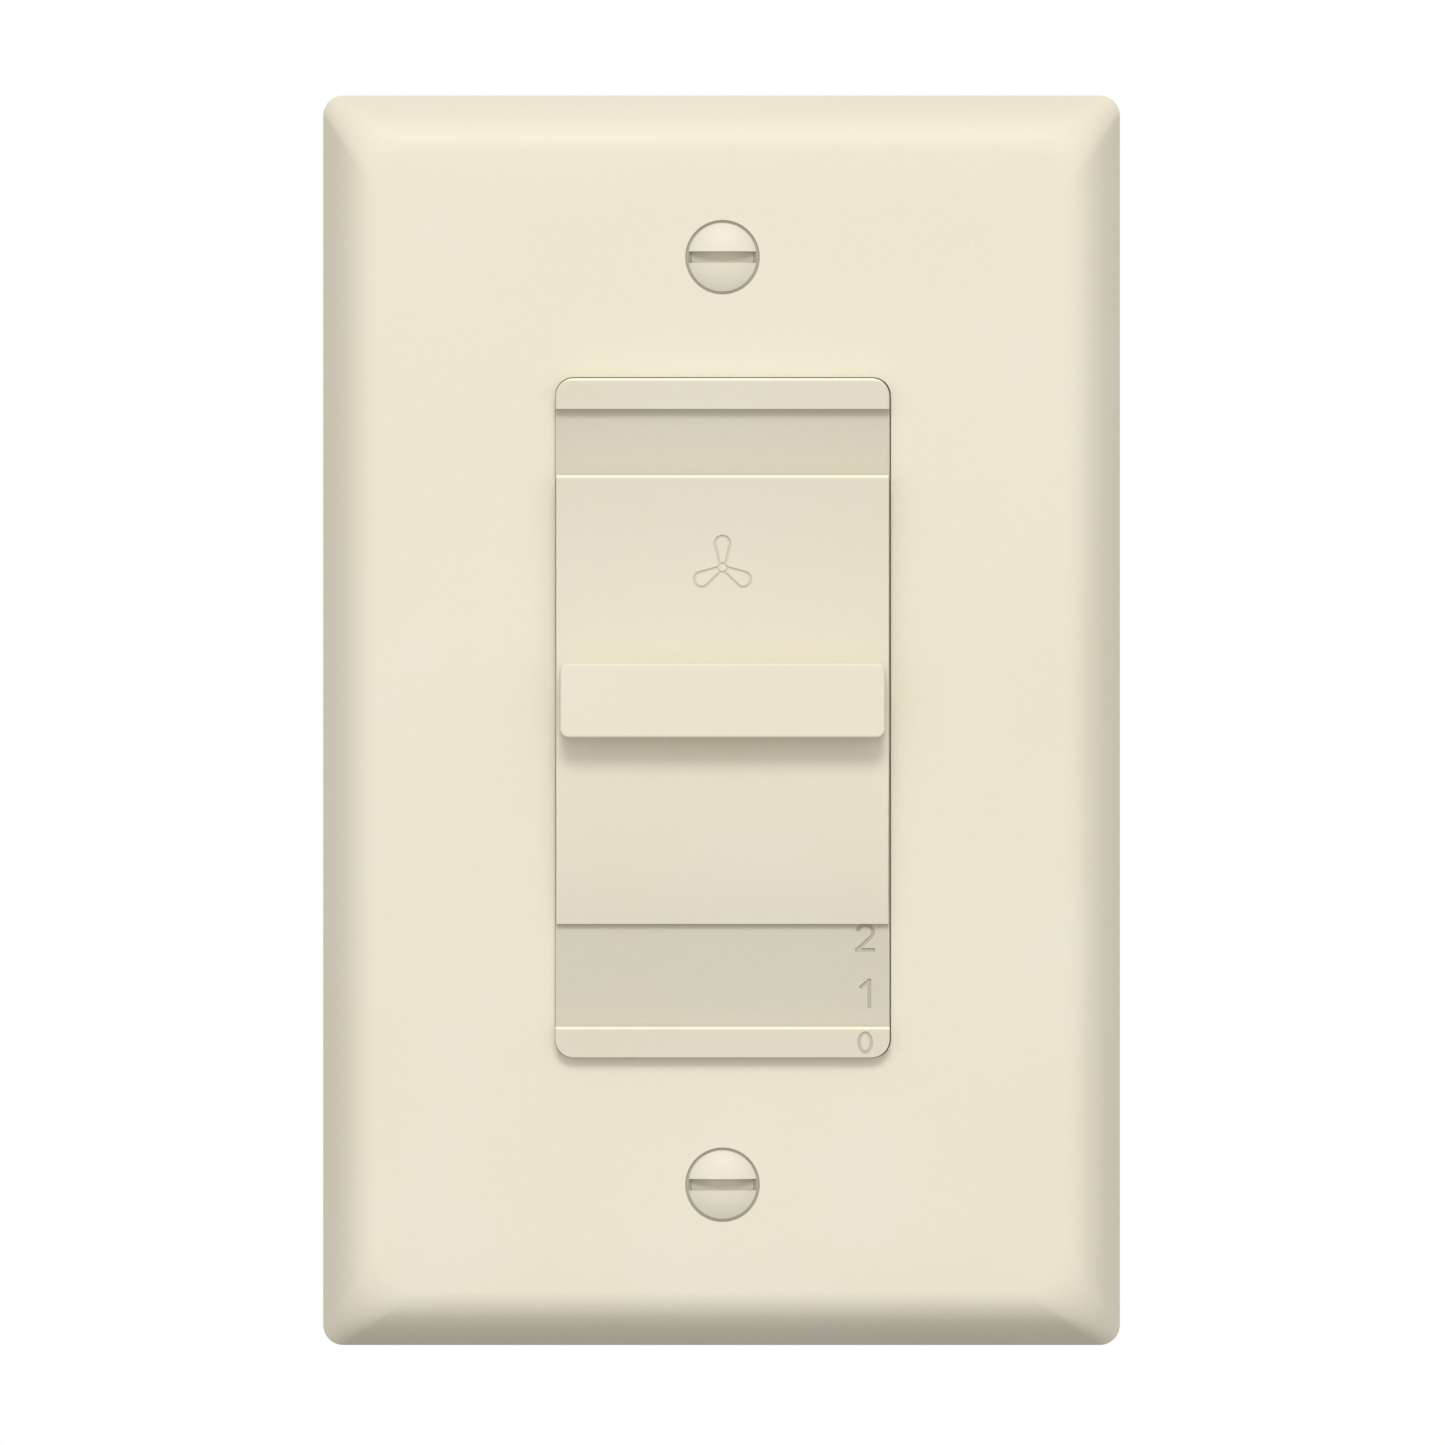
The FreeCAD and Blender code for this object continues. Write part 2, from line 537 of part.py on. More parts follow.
def strap():
    y0, y1 = -STRAP_T, 0.0
    body = union([
        slab(STRAP_W, STRAP_MID_H, 1.5, y0, y1),
        slab(NECK_W, STRAP_H, 2.0, y0, y1),
        slab(EAR_W, EAR_H, 2.0, y0, y1, (0, (STRAP_H - EAR_H) / 2)),
        slab(EAR_W, EAR_H, 2.0, y0, y1, (0, -(STRAP_H - EAR_H) / 2)),
        ground_tab(),
    ])
    body = body.cut(slab(27.0, 33.0, 1.5, y0 - 1, y1 + 1))
    for sz in (1, -1):
        collar_z = sz * PLATE_SCREW_PITCH / 2
        body = body.fuse(rod(2.7, (0, y1 - 0.2, collar_z), (0, 1.6, collar_z)))
        body = body.cut(rod(SCREW_R + 0.05, (0, y0, collar_z), (0, 2, collar_z)))
        body = body.cut(slab(8.0, 4.2, 2.09, y0, y1, (0, sz * BOX_SCREW_PITCH / 2)))
        switch_z = sz * SWITCH_EAR_Z
        body = body.cut(rod(1.6, (0, y0, switch_z), (0, y1, switch_z)))
        for sx in (1, -1):
            x, z = sx * BOSS_X, sz * BOSS_Z
            body = body.cut(rod(BOSS_R + 0.2, (x, y0, z), (x, y1, z)))
            body = body.cut(score_line(sx, sz))
    return body.removeSplitter()


def score_line(sx, sz):
    """Holes and a groove where one side of an ear can be snapped off."""
    z = sz * (STRAP_H - EAR_H) / 2
    x = sx * (NECK_W / 2 + 0.3)
    groove = block((x - 0.3, x + 0.3), (-0.35, 0), (z - EAR_H / 2, z + EAR_H / 2))
    holes = [rod(0.75, (x, -STRAP_T, z + offset), (x, 0, z + offset)) for offset in (-2.6, 0, 2.6)]
    return union([groove] + holes)


def ground_tab():
    """A tab bent back from the strap's lower neck, with a hole for the ground screw."""
    z = (TAB_Z - TAB_H / 2, TAB_Z + TAB_H / 2)
    flat = block((TAB_X, -NECK_W / 2 + 1), (-STRAP_T, 0), z)
    bent = block((TAB_X, TAB_X + STRAP_T), (-STRAP_T, TAB_DEPTH), z)
    tab = union([flat, bent])
    tab = rounded(tab, STRAP_T, lambda b: b.XMax < TAB_X + 0.01 and b.YMax < -STRAP_T + 0.01)
    tab = rounded(tab, 1.5, lambda b: b.YMin > TAB_DEPTH - 0.01 and b.ZLength < 0.01)
    return tab.cut(rod(2.12, (TAB_X - 1, 4.9, TAB_Z), (TAB_X + 3, 4.9, TAB_Z)))


def box_screw(z):
    """Truss-head 6-32 screw with a combination slot and cross, and a neck for its retainer."""
    seat, head_h, head_r = -STRAP_T, 2.1, 3.6
    ball_r = (head_r ** 2 + head_h ** 2) / (2 * head_h)
    head = Part.makeSphere(ball_r, V(0, seat - head_h + ball_r, z))
    head = head.common(rod(head_r, (0, seat - head_h - 1, z), (0, seat, z)))
    thread = RETAINER_T + 0.08
    body = union([head, rod(NECK_R, (0, seat, z), (0, thread, z)),
                  rod(SCREW_R, (0, thread, z), (0, 17.2, z)),
                  Part.makeCone(SCREW_R, SCREW_R - 0.5, 0.5, V(0, 17.2, z), V(0, 1, 0))])
    for half_x, half_z in ((5.0, 0.5), (0.5, 1.7)):
        body = body.cut(block((-half_x, half_x), (seat - 3, seat - 0.9), (z - half_z, z + half_z)))
    return body


def retainer(z):
    """Fibre washer that holds a box screw captive in the strap."""
    body = slab(9.0, 7.6, 0.8, 0.0, RETAINER_T, (0, z))
    return body.cut(rod(NECK_R + 0.02, (0, 0, z), (0, 1, z)))


def ground_screw():
    """Hex-head slotted screw in the strap's tab."""
    seat = TAB_X
    hexagon = [V(seat, 4.9 + 4.2 * math.cos(math.radians(a)), TAB_Z + 4.2 * math.sin(math.radians(a)))
               for a in range(0, 360, 60)]
    head = Part.Face(Part.makePolygon(hexagon + hexagon[:1])).extrude(V(-2.7, 0, 0))
    flange = rod(4.4, (seat, 4.9, TAB_Z), (seat - 0.8, 4.9, TAB_Z))
    shank = rod(2.05, (seat, 4.9, TAB_Z), (seat + 7.5, 4.9, TAB_Z))
    slot = block((seat - 3, seat - 1.5), (0, 10), (TAB_Z - 0.55, TAB_Z + 0.55))
    return union([head, flange, shank]).cut(slot)


# ---------------------------------------------------------------- slide switch

def switch_cover():
    """Steel shell over the switch, with ears that bolt to the strap and detent holes in its sides."""
    half_w, half_h = COVER_W / 2, COVER_H / 2
    shell = block((-half_w, half_w), (0, BASE_REAR - 0.3), (-half_h, half_h))
    inside = block((-half_w + COVER_T, half_w - COVER_T), (COVER_T, 8),
                   (-half_h + COVER_T, half_h - COVER_T))
    ears = slab(SWITCH_EAR_W, 2 * SWITCH_EAR_Z + 7.0, 2.0, 0, COVER_T)
    body = union([shell, ears]).cut(inside)
    slot_h = 2 * (TRAVEL_HALF + LEVER_H / 2 + 0.3)
    body = body.cut(slab(LEVER_W + 0.6, slot_h, 0.5, -1, COVER_T + 0.01))
    for sz in (1, -1):
        body = body.cut(rod(1.3, (0, 0, sz * SWITCH_EAR_Z), (0, 1, sz * SWITCH_EAR_Z)))
    for stop in range(4):
        z = -TRAVEL_HALF + stop * SPEED_STEP
        body = body.cut(rod(0.85, (-half_w - 1, 2.4, z), (half_w + 1, 2.4, z)))
    return body


def switch_base():
    """Phenolic board that closes the switch and holds the fixed contacts."""
    half_w, half_h = COVER_W / 2 - COVER_T - 0.02, COVER_H / 2 - COVER_T - 0.02
    body = block((-half_w, half_w), (BASE_FRONT, BASE_REAR), (-half_h, half_h))
    for x, z in contact_pins():
        body = body.cut(rod(0.5, (x, BASE_FRONT, z), (x, BASE_REAR, z)))
    return body


def contact_pins():
    """Where the contacts' pins pass the base and the board: the common bar, then speeds 1 to 3."""
    throws = [(CONTACT_X, -TRAVEL_HALF + speed * SPEED_STEP) for speed in (1, 2, 3)]
    return [(-CONTACT_X, -9.5), (-CONTACT_X, 9.5)] + throws


def switch_contacts():
    """One long common bar and three short throws, each on its own pins."""
    front, thick = BASE_FRONT - 0.25, 0.25
    pins = contact_pins()
    common = [block((-CONTACT_X - 1, -CONTACT_X + 1), (front, front + thick), (-11.2, 11.2))]
    common += [rod(0.45, (x, front, z), (x, BOARD_REAR + 0.9, z)) for x, z in pins[:2]]
    throws = []
    for x, z in pins[2:]:
        pad = block((x - 1, x + 1), (front, front + thick), (z - 1.7, z + 1.7))
        throws.append(union([pad, rod(0.45, (x, front, z), (x, BOARD_REAR + 0.9, z))]))
    return [union(common)] + throws


def switch_screw(z):
    head = rod(2.2, (0, -STRAP_T - 1.2, z), (0, -STRAP_T, z))
    head = rounded(head, 0.5, at_depth(-STRAP_T - 1.2))
    body = union([head, rod(1.25, (0, -STRAP_T, z), (0, 2.6, z))])
    return body.cut(block((-3, 3), (-STRAP_T - 2, -STRAP_T - 0.6), (z - 0.3, z + 0.3)))


def switch_actuator():
    """Nylon block with the lever in front, a cross bore for the detent and a seat for the bridge."""
    bridge_holder = slab(BLOCK_W, BLOCK_H, 0.8, BLOCK_FRONT, BLOCK_REAR)
    lever = slab(LEVER_W, LEVER_H, 0.4, LEVER_TIP, BLOCK_FRONT + 0.2)
    lever = rounded(lever, 0.3, at_depth(LEVER_TIP))
    body = union([bridge_holder, lever])
    body = body.cut(rod(BALL_R + 0.05, (-8, 2.4, 0), (8, 2.4, 0)))
    body = body.cut(block((-4.1, 4.1), (BLOCK_REAR - 0.5, BLOCK_REAR + 1), (-1.4, 1.4)))
    body.translate(V(0, 0, REST_Z))
    return body


def contact_bridge():
    """Bronze strip that joins the common bar to the throw under it, with a dimple at each end."""
    strip = block((-3.9, 3.9), (BLOCK_REAR - 0.2, BLOCK_REAR + 0.05), (-1.2, 1.2))
    legs = [block((x - 0.15, x + 0.15), (BLOCK_REAR - 0.5, BLOCK_REAR), (-1.2, 1.2))
            for x in (-3.75, 3.75)]
    dimples = []
    for x in (-CONTACT_X, CONTACT_X):
        ball = Part.makeSphere(0.9, V(x, BLOCK_REAR - 0.6, 0))
        dimples.append(ball.common(block((-5, 5), (BLOCK_REAR, BLOCK_REAR + 1), (-2, 2))))
    body = union([strip] + legs + dimples)
    body.translate(V(0, 0, REST_Z))
    return body


def detent_ball(sign):
    reach = COVER_W / 2 - COVER_T - 0.06 - BALL_R
    return Part.makeSphere(BALL_R, V(sign * reach, 2.4, REST_Z))


def detent_spring():
    """Coil spring between the two balls, across the block."""
    wire_r, coil_r, turns = 0.16, 0.8, 7
    length = 2 * (COVER_W / 2 - COVER_T - 0.06 - 2 * BALL_R) - 0.7
    helix = Part.makeHelix(length / turns, length, coil_r)
    section = Part.Wire([Part.Circle(V(coil_r, 0, 0), V(0, 1, 0), wire_r).toShape()])
    coil = Part.Wire(helix.Edges).makePipeShell([section], True, True)
    coil.rotate(V(0, 0, 0), V(0, 1, 0), 90)
    coil.translate(V(-length / 2, 2.4, REST_Z))
    return coil


# ---------------------------------------------------------------- board and components

def cap_lead_places(x):
    return [(x, CAP_Z - 13.75), (x, CAP_Z + 13.75)]


def board_holes():
    """(radius, x, z) of every round hole in the board."""
    holes = [(0.55, x, z) for x, z in contact_pins()]
    for x in (-CAP_W / 2 - 0.3, CAP_W / 2 + 0.3):
        holes += [(0.5, hx, hz) for hx, hz in cap_lead_places(x)]
    for centre, span in small_parts().values():
        holes += [(0.45, centre[0] + side * span / 2, centre[1]) for side in (1, -1)]
    return holes


def small_parts():
    """Name to ((x, z) of the body, distance between its leads)."""
    return {
        "varistor": ((6.2, -17.6), 7.5),
        "thermal_fuse": ((-5.5, -21.0), 13.0),
        "resistor_1": ((0.0, -25.1), 11.0),
        "resistor_2": ((0.0, -28.4), 11.0),
    }


def circuit_board():
    y0, y1 = BOARD_FRONT, BOARD_REAR
    body = union([
        block((-17.6, 17.6), (y0, y1), (BOARD_STEP_Z, 23.0)),
        block((-15.6, 15.6), (y0, y1), (-23.0, BOARD_STEP_Z)),
        block((-8.4, 8.4), (y0, y1), (-31.0, 31.0)),
    ])
    for radius, x, z in board_holes():
        body = body.cut(rod(radius, (x, y0, z), (x, y1, z)))
    for side in (1, -1):
        slot = sorted((side * 13.5, side * 14.6))
        body = body.cut(block(slot, (y0, y1), (-20.5, -18.3)))
    return body


def capacitor(x):
    """Film capacitor in a moulded box, standing on two leads."""
    body = block((x - CAP_W / 2, x + CAP_W / 2), (PART_FRONT, PART_FRONT + CAP_D),
                 (CAP_Z - CAP_H / 2, CAP_Z + CAP_H / 2))
    body = body.makeFillet(0.7, body.Edges)
    leads = [rod(0.4, (hx, BOARD_FRONT - 0.9, hz), (hx, PART_FRONT + 1, hz))
             for hx, hz in cap_lead_places(x)]
    return union([body] + leads)


def bent_lead(centre, span, depth, radius):
    """One wire: up from the board, along through the body and down again, with round bends."""
    cx, cz = centre
    half, bend, foot = span / 2, 0.9, BOARD_FRONT - 0.8
    k = bend * (1 - math.sqrt(0.5))
    path = Part.Wire([
        Part.LineSegment(V(cx - half, foot, cz), V(cx - half, depth - bend, cz)).toShape(),
        Part.Arc(V(cx - half, depth - bend, cz), V(cx - half + k, depth - k, cz),
                 V(cx - half + bend, depth, cz)).toShape(),
        Part.LineSegment(V(cx - half + bend, depth, cz), V(cx + half - bend, depth, cz)).toShape(),
        Part.Arc(V(cx + half - bend, depth, cz), V(cx + half - k, depth - k, cz),
                 V(cx + half, depth - bend, cz)).toShape(),
        Part.LineSegment(V(cx + half, depth - bend, cz), V(cx + half, foot, cz)).toShape(),
    ])
    section = Part.Wire([Part.Circle(V(cx - half, foot, cz), V(0, 1, 0), radius).toShape()])
    return path.makePipeShell([section], True, False)


def varistor():
    """Coated disc on two straight leads."""
    (cx, cz), span = small_parts()["varistor"]
    middle = PART_FRONT + 6.3
    disc = rod(5.4, (cx, middle, cz - 1.9), (cx, middle, cz + 1.9))
    disc = disc.makeFillet(1.4, [e for e in disc.Edges if e.Curve.TypeId == "Part::GeomCircle"])
    leads = [rod(0.35, (cx + side * span / 2, BOARD_FRONT - 0.8, cz),
                 (cx + side * span / 2, middle - 2, cz)) for side in (1, -1)]
    return union([disc] + leads)


def thermal_fuse():
    centre, span = small_parts()["thermal_fuse"]
    cx, cz = centre
    depth = PART_FRONT + 1.6
    can = rod(1.6, (cx - 4.6, depth, cz), (cx + 4.6, depth, cz))
    return union([can, bent_lead(centre, span, depth, 0.32)])


def resistor(name):
    """Axial resistor: a waisted body turned about its own lead."""
    centre, span = small_parts()[name]
    cx, cz = centre
    depth = PART_FRONT + 1.2
    outline = [(-3.6, 0.0), (-3.6, 0.9), (-3.2, 1.25), (-1.9, 1.25), (-1.5, 1.0),
               (1.5, 1.0), (1.9, 1.25), (3.2, 1.25), (3.6, 0.9), (3.6, 0.0)]
    loop = [V(cx + x, depth + r, cz) for x, r in outline]
    body = Part.Face(Part.makePolygon(loop + loop[:1])).revolve(V(cx, depth, cz), V(1, 0, 0), 360)
    return union([body, bent_lead(centre, span, depth, 0.3)])


def insulator():
    """Fibre sheet that keeps the board's solder side off the strap."""
    body = slab(39.6, 63.0, 2.0, 0.0, 0.35)
    body = body.cut(slab(COVER_W + 0.8, COVER_H + 0.8, 0.3, 0, 1))
    body = body.cut(slab(27.0, 33.0, 1.5, 0, 1))
    body = body.cut(slab(SWITCH_EAR_W + 0.8, 2 * SWITCH_EAR_Z + 7.8, 2.2, 0, 1))
    for sx in (1, -1):
        for sz in (1, -1):
            x, z = sx * BOSS_X, sz * BOSS_Z
            body = body.cut(rod(BOSS_R + 0.3, (x, 0, z), (x, 1, z)))
    return body


# ---------------------------------------------------------------- housing and terminals

def pocket(side, grow):
    """The recess for one terminal, open at the side and the rear. grow adds its walls."""
    x = sorted((side * (POCKET_FLOOR - grow), side * (HOUSING_W / 2 + 1)))
    half = POCKET_H / 2 + grow
    return block(x, (POCKET_FRONT - grow, HOUSING_D + 1), (TERMINAL_Z - half, TERMINAL_Z + half))


def housing():
    rear = HOUSING_D
    outer = slab(HOUSING_W, HOUSING_H, HOUSING_R, 0.0, rear)
    outer = rounded(outer, 1.4, at_depth(rear))
    cavity = slab(HOUSING_W - 2 * HOUSING_WALL, HOUSING_H - 2 * HOUSING_WALL, HOUSING_R - 1.3,
                  0.0, rear - HOUSING_WALL)
    towers = []
    for sx in (1, -1):
        cavity = cavity.cut(pocket(sx, POCKET_WALL))
        for z0 in (0.0, 18.0):
            ledge = sorted((sx * 16.4, sx * 21.0))
            cavity = cavity.cut(block(ledge, (BOARD_REAR + 0.05, BOARD_REAR + 1.2), (z0, z0 + 3)))
        for sz in (1, -1):
            x, z = sx * BOSS_X, sz * BOSS_Z
            towers.append(rod(TOWER_R, (x, TOWER_FRONT, z), (x, rear - 1, z)))
    for sz in (1, -1):
        z = sorted((sz * 30.0, sz * 32.5))
        cavity = cavity.cut(block((-6, 6), (BOARD_REAR + 0.05, BOARD_REAR + 1.2), z))
    body = outer.cut(cavity).multiFuse(towers)
    for sx in (1, -1):
        body = body.cut(pocket(sx, 0.0))
        hole_x = sorted((sx * (POCKET_FLOOR - POCKET_WALL - 1), sx * (POCKET_FLOOR + 1)))
        body = body.cut(rod(2.4, (hole_x[0], TERMINAL_Y, TERMINAL_Z),
                            (hole_x[1], TERMINAL_Y, TERMINAL_Z)))
        body = body.cut(block(hole_x, (8.8, 9.9), (-20.55, -18.25)))
        for z in (5.0, 9.0, 13.0, 17.0):
            vent_x = sorted((sx * (HOUSING_W / 2 - 3), sx * (HOUSING_W / 2 + 1)))
            body = body.cut(block(vent_x, (11.0, 21.0), (z - 0.7, z + 0.7)))
        for sz in (1, -1):
            x, z = sx * BOSS_X, sz * BOSS_Z
            body = body.cut(rod(2.75, (x, TOWER_SEAT, z), (x, rear + 1, z)))
            body = body.cut(rod(1.5, (x, 0, z), (x, TOWER_SEAT + 0.1, z)))
    body = body.cut(slab(22.0, 30.0, 1.5, rear - 0.4, rear + 1, (0, 5.0)))
    body = body.cut(slab(12.7, 1.6, 0.3, rear - 0.4, rear + 1, (0, -17.0)))
    return body.removeSplitter()


def housing_screw(x, z):
    head = rod(2.4, (x, TOWER_SEAT, z), (x, TOWER_SEAT + 1.8, z))
    head = rounded(head, 0.7, at_depth(TOWER_SEAT + 1.8))
    body = union([head, rod(1.25, (x, -2.6, z), (x, TOWER_SEAT, z))])
    for angle in (0, 90):
        cross = block((x - 1.4, x + 1.4), (TOWER_SEAT + 0.7, TOWER_SEAT + 3), (z - 0.3, z + 0.3))
        cross.rotate(V(x, 0, z), V(0, 1, 0), angle)
        body = body.cut(cross)
    return body


def terminal_plate():
    """Brass plate in the right-hand pocket, with a tail that is soldered into the board."""
    z0, z1 = TERMINAL_Z - 5.0, TERMINAL_Z + 5.0
    plate = block((POCKET_FLOOR, POCKET_FLOOR + 0.9), (5.0, 15.4), (z0, z1))
    plate = rounded(plate, 1.0, lambda b: b.XLength > 0.8 and b.YLength < 0.01 and b.ZLength < 0.01)
    tail = block((13.6, POCKET_FLOOR + 0.2), (8.9, 9.8), (-20.4, -18.4))
    leg = block((13.6, 14.5), (5.6, 9.8), (-20.4, -18.4))
    bore = rod(2.07, (15, TERMINAL_Y, TERMINAL_Z), (20, TERMINAL_Y, TERMINAL_Z))
    return union([plate, tail, leg]).cut(bore)


def terminal_clamp():
    """Steel pressure plate under the screw's head, its edges turned down towards the brass."""
    x0, half = POCKET_FLOOR + 1.0, 4.4
    y, z = TERMINAL_Y, TERMINAL_Z
    body = block((x0, x0 + 0.9), (y - half, y + half), (z - half, z + half))
    body = body.makeChamfer(0.25, [e for e in body.Edges if e.BoundBox.XMin > x0 + 0.8])
    body = body.cut(rod(2.3, (x0 - 1, y, z), (x0 + 2, y, z)))
    for offset in (-2.9, 2.9):
        body = body.cut(rod(0.5, (x0, y + offset, z - 6), (x0, y + offset, z + 6)))
    return body


def terminal_screw():
    """Binding-head brass screw with a combination slot and cross."""
    seat, y, z = POCKET_FLOOR + 1.9, TERMINAL_Y, TERMINAL_Z
    head = rod(4.0, (seat, y, z), (seat + 2.2, y, z))
    head = rounded(head, 0.7, lambda b: b.XMin > seat + 2.1)
    body = union([head, rod(2.02, (14.0, y, z), (seat, y, z))])
    body = body.cut(block((seat + 1.1, seat + 3), (y - 0.6, y + 0.6), (z - 5, z + 5)))
    return body.cut(block((seat + 1.1, seat + 3), (y - 1.9, y + 1.9), (z - 0.6, z + 0.6)))


# ---------------------------------------------------------------- all sub-parts

def main():
    os.makedirs(OUT, exist_ok=True)
    plate_z = PLATE_SCREW_PITCH / 2
    box_z = BOX_SCREW_PITCH / 2
    signs = (1, -1)
    save("wall_plate", wall_plate())
    save("plate_screws", *[plate_screw(s * plate_z) for s in signs])
    save("front_frame", front_frame())
    save("slider", slider())
    save("slider_carriage", carriage())
    save("carriage_screws", *[carriage_screw(s * POST_X) for s in signs])
    save("mounting_strap", strap())
    save("box_screws", *[box_screw(s * box_z) for s in signs])
    save("screw_retainers", *[retainer(s * box_z) for s in signs])
    save("ground_screw", ground_screw())
    save("switch_cover", switch_cover())
    save("switch_base", switch_base())
    save("switch_contacts", *switch_contacts())
    save("switch_screws", *[switch_screw(s * SWITCH_EAR_Z) for s in signs])
    save("switch_actuator", switch_actuator())
    save("contact_bridge", contact_bridge())
    save("detent_balls", *[detent_ball(s) for s in signs])
    save("detent_spring", detent_spring())
    save("circuit_board", circuit_board())
    save("capacitor_low_speed", capacitor(-CAP_W / 2 - 0.3))
    save("capacitor_medium_speed", capacitor(CAP_W / 2 + 0.3))
    save("varistor", varistor())
    save("thermal_fuse", thermal_fuse())
    save("discharge_resistors", resistor("resistor_1"), resistor("resistor_2"))
    save("insulator_sheet", insulator())
    save("housing", housing())
    save("housing_screws", *[housing_screw(a * BOSS_X, b * BOSS_Z) for a in signs for b in signs])
    save("load_terminal", terminal_plate())
    save("line_terminal", mirrored(terminal_plate()))
    save("terminal_clamps", terminal_clamp(), mirrored(terminal_clamp()))
    save("terminal_screws", terminal_screw(), mirrored(terminal_screw()))


main()
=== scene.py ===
"""Looks, light and camera for the slide fan speed switch.

Metres, in the CAD's frame: +X right and +Z up seen from the room, +Y into the wall.
"""

import json
import math

import bmesh
import bpy
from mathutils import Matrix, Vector


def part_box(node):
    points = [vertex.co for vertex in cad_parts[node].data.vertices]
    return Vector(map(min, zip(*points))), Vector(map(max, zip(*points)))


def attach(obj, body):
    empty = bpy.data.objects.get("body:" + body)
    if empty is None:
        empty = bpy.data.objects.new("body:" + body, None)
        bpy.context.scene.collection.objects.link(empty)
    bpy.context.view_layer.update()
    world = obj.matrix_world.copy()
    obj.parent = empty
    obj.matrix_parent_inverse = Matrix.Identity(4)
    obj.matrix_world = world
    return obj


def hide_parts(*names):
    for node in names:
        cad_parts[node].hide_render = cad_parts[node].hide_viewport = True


MM = 0.001

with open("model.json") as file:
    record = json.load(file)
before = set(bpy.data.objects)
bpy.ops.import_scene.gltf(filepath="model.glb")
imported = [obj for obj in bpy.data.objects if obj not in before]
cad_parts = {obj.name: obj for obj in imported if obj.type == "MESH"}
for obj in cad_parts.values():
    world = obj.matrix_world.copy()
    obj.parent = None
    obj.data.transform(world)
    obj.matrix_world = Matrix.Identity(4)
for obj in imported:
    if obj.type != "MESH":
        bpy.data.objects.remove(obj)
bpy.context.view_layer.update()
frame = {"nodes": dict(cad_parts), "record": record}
nodes = frame["nodes"]


def middle_mm(name):
    """The middle of a node's box, in mm."""
    low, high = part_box(name)
    return (low + high) / (2 * MM)


# Places that the painted tones go by, in mm. Depths grow into the wall, whose surface is at 0.
FACE_Z, SLIDER_Z = middle_mm("front_frame").z, middle_mm("slider").z
SCREW_Z = 48.4                      # height of a plate screw's axis
RECESS_R, SHADE_SPAN = 3.89, 3.8     # radius of the recess round a screw, and how far its painted shade grades
SLOT_HALF = 0.605                   # half the width of a screw's slot
TOP_EDGE = (35.15, 36.0)            # the frame's rounded top edge, above the frame's middle
STEP_EDGE = (-32.5, -32.2)          # the lower lip's rounded top edge, above the frame's middle
STEP_DEPTHS = (-9.0, -7.2)          # the depths of that edge
LIP_DEPTH, FLOOR_DEPTHS, NUMERAL_DEPTH = -7.7, (-7.3, -7.06), -6.98     # in the frame, front to back
LIP_TOP = FACE_Z - 32.205           # height of the lower lip's top edge
LIP_FACE, LIP_LEAN = -8.1, 0.0776   # depth of its face there, and how much the face leans back downwards
ZERO_X, ZERO_Z = (13.8, 16.0), (-3.1, -0.35)    # the numeral on it, heights from LIP_TOP
GRIP_DEPTHS = (-10.2, -9.9)         # in front of the first is the grip, behind the second the slider's face
SLIDER_FACE = -8.6                  # depth of that face at BEND_START above the slider's middle
BEND_START, BEND = 4.0, -0.9 / 19.4 ** 2        # further up it comes forward, by BEND times the square
FAN_X, FAN_Z = (-4.0, 4.0), (9.6, 18.6)         # the fan mark, heights above the slider's middle
MARK_DEPTH = 0.08                   # what lies deeper than this below a face is engraved


# ---------------------------------------------------------------- material building

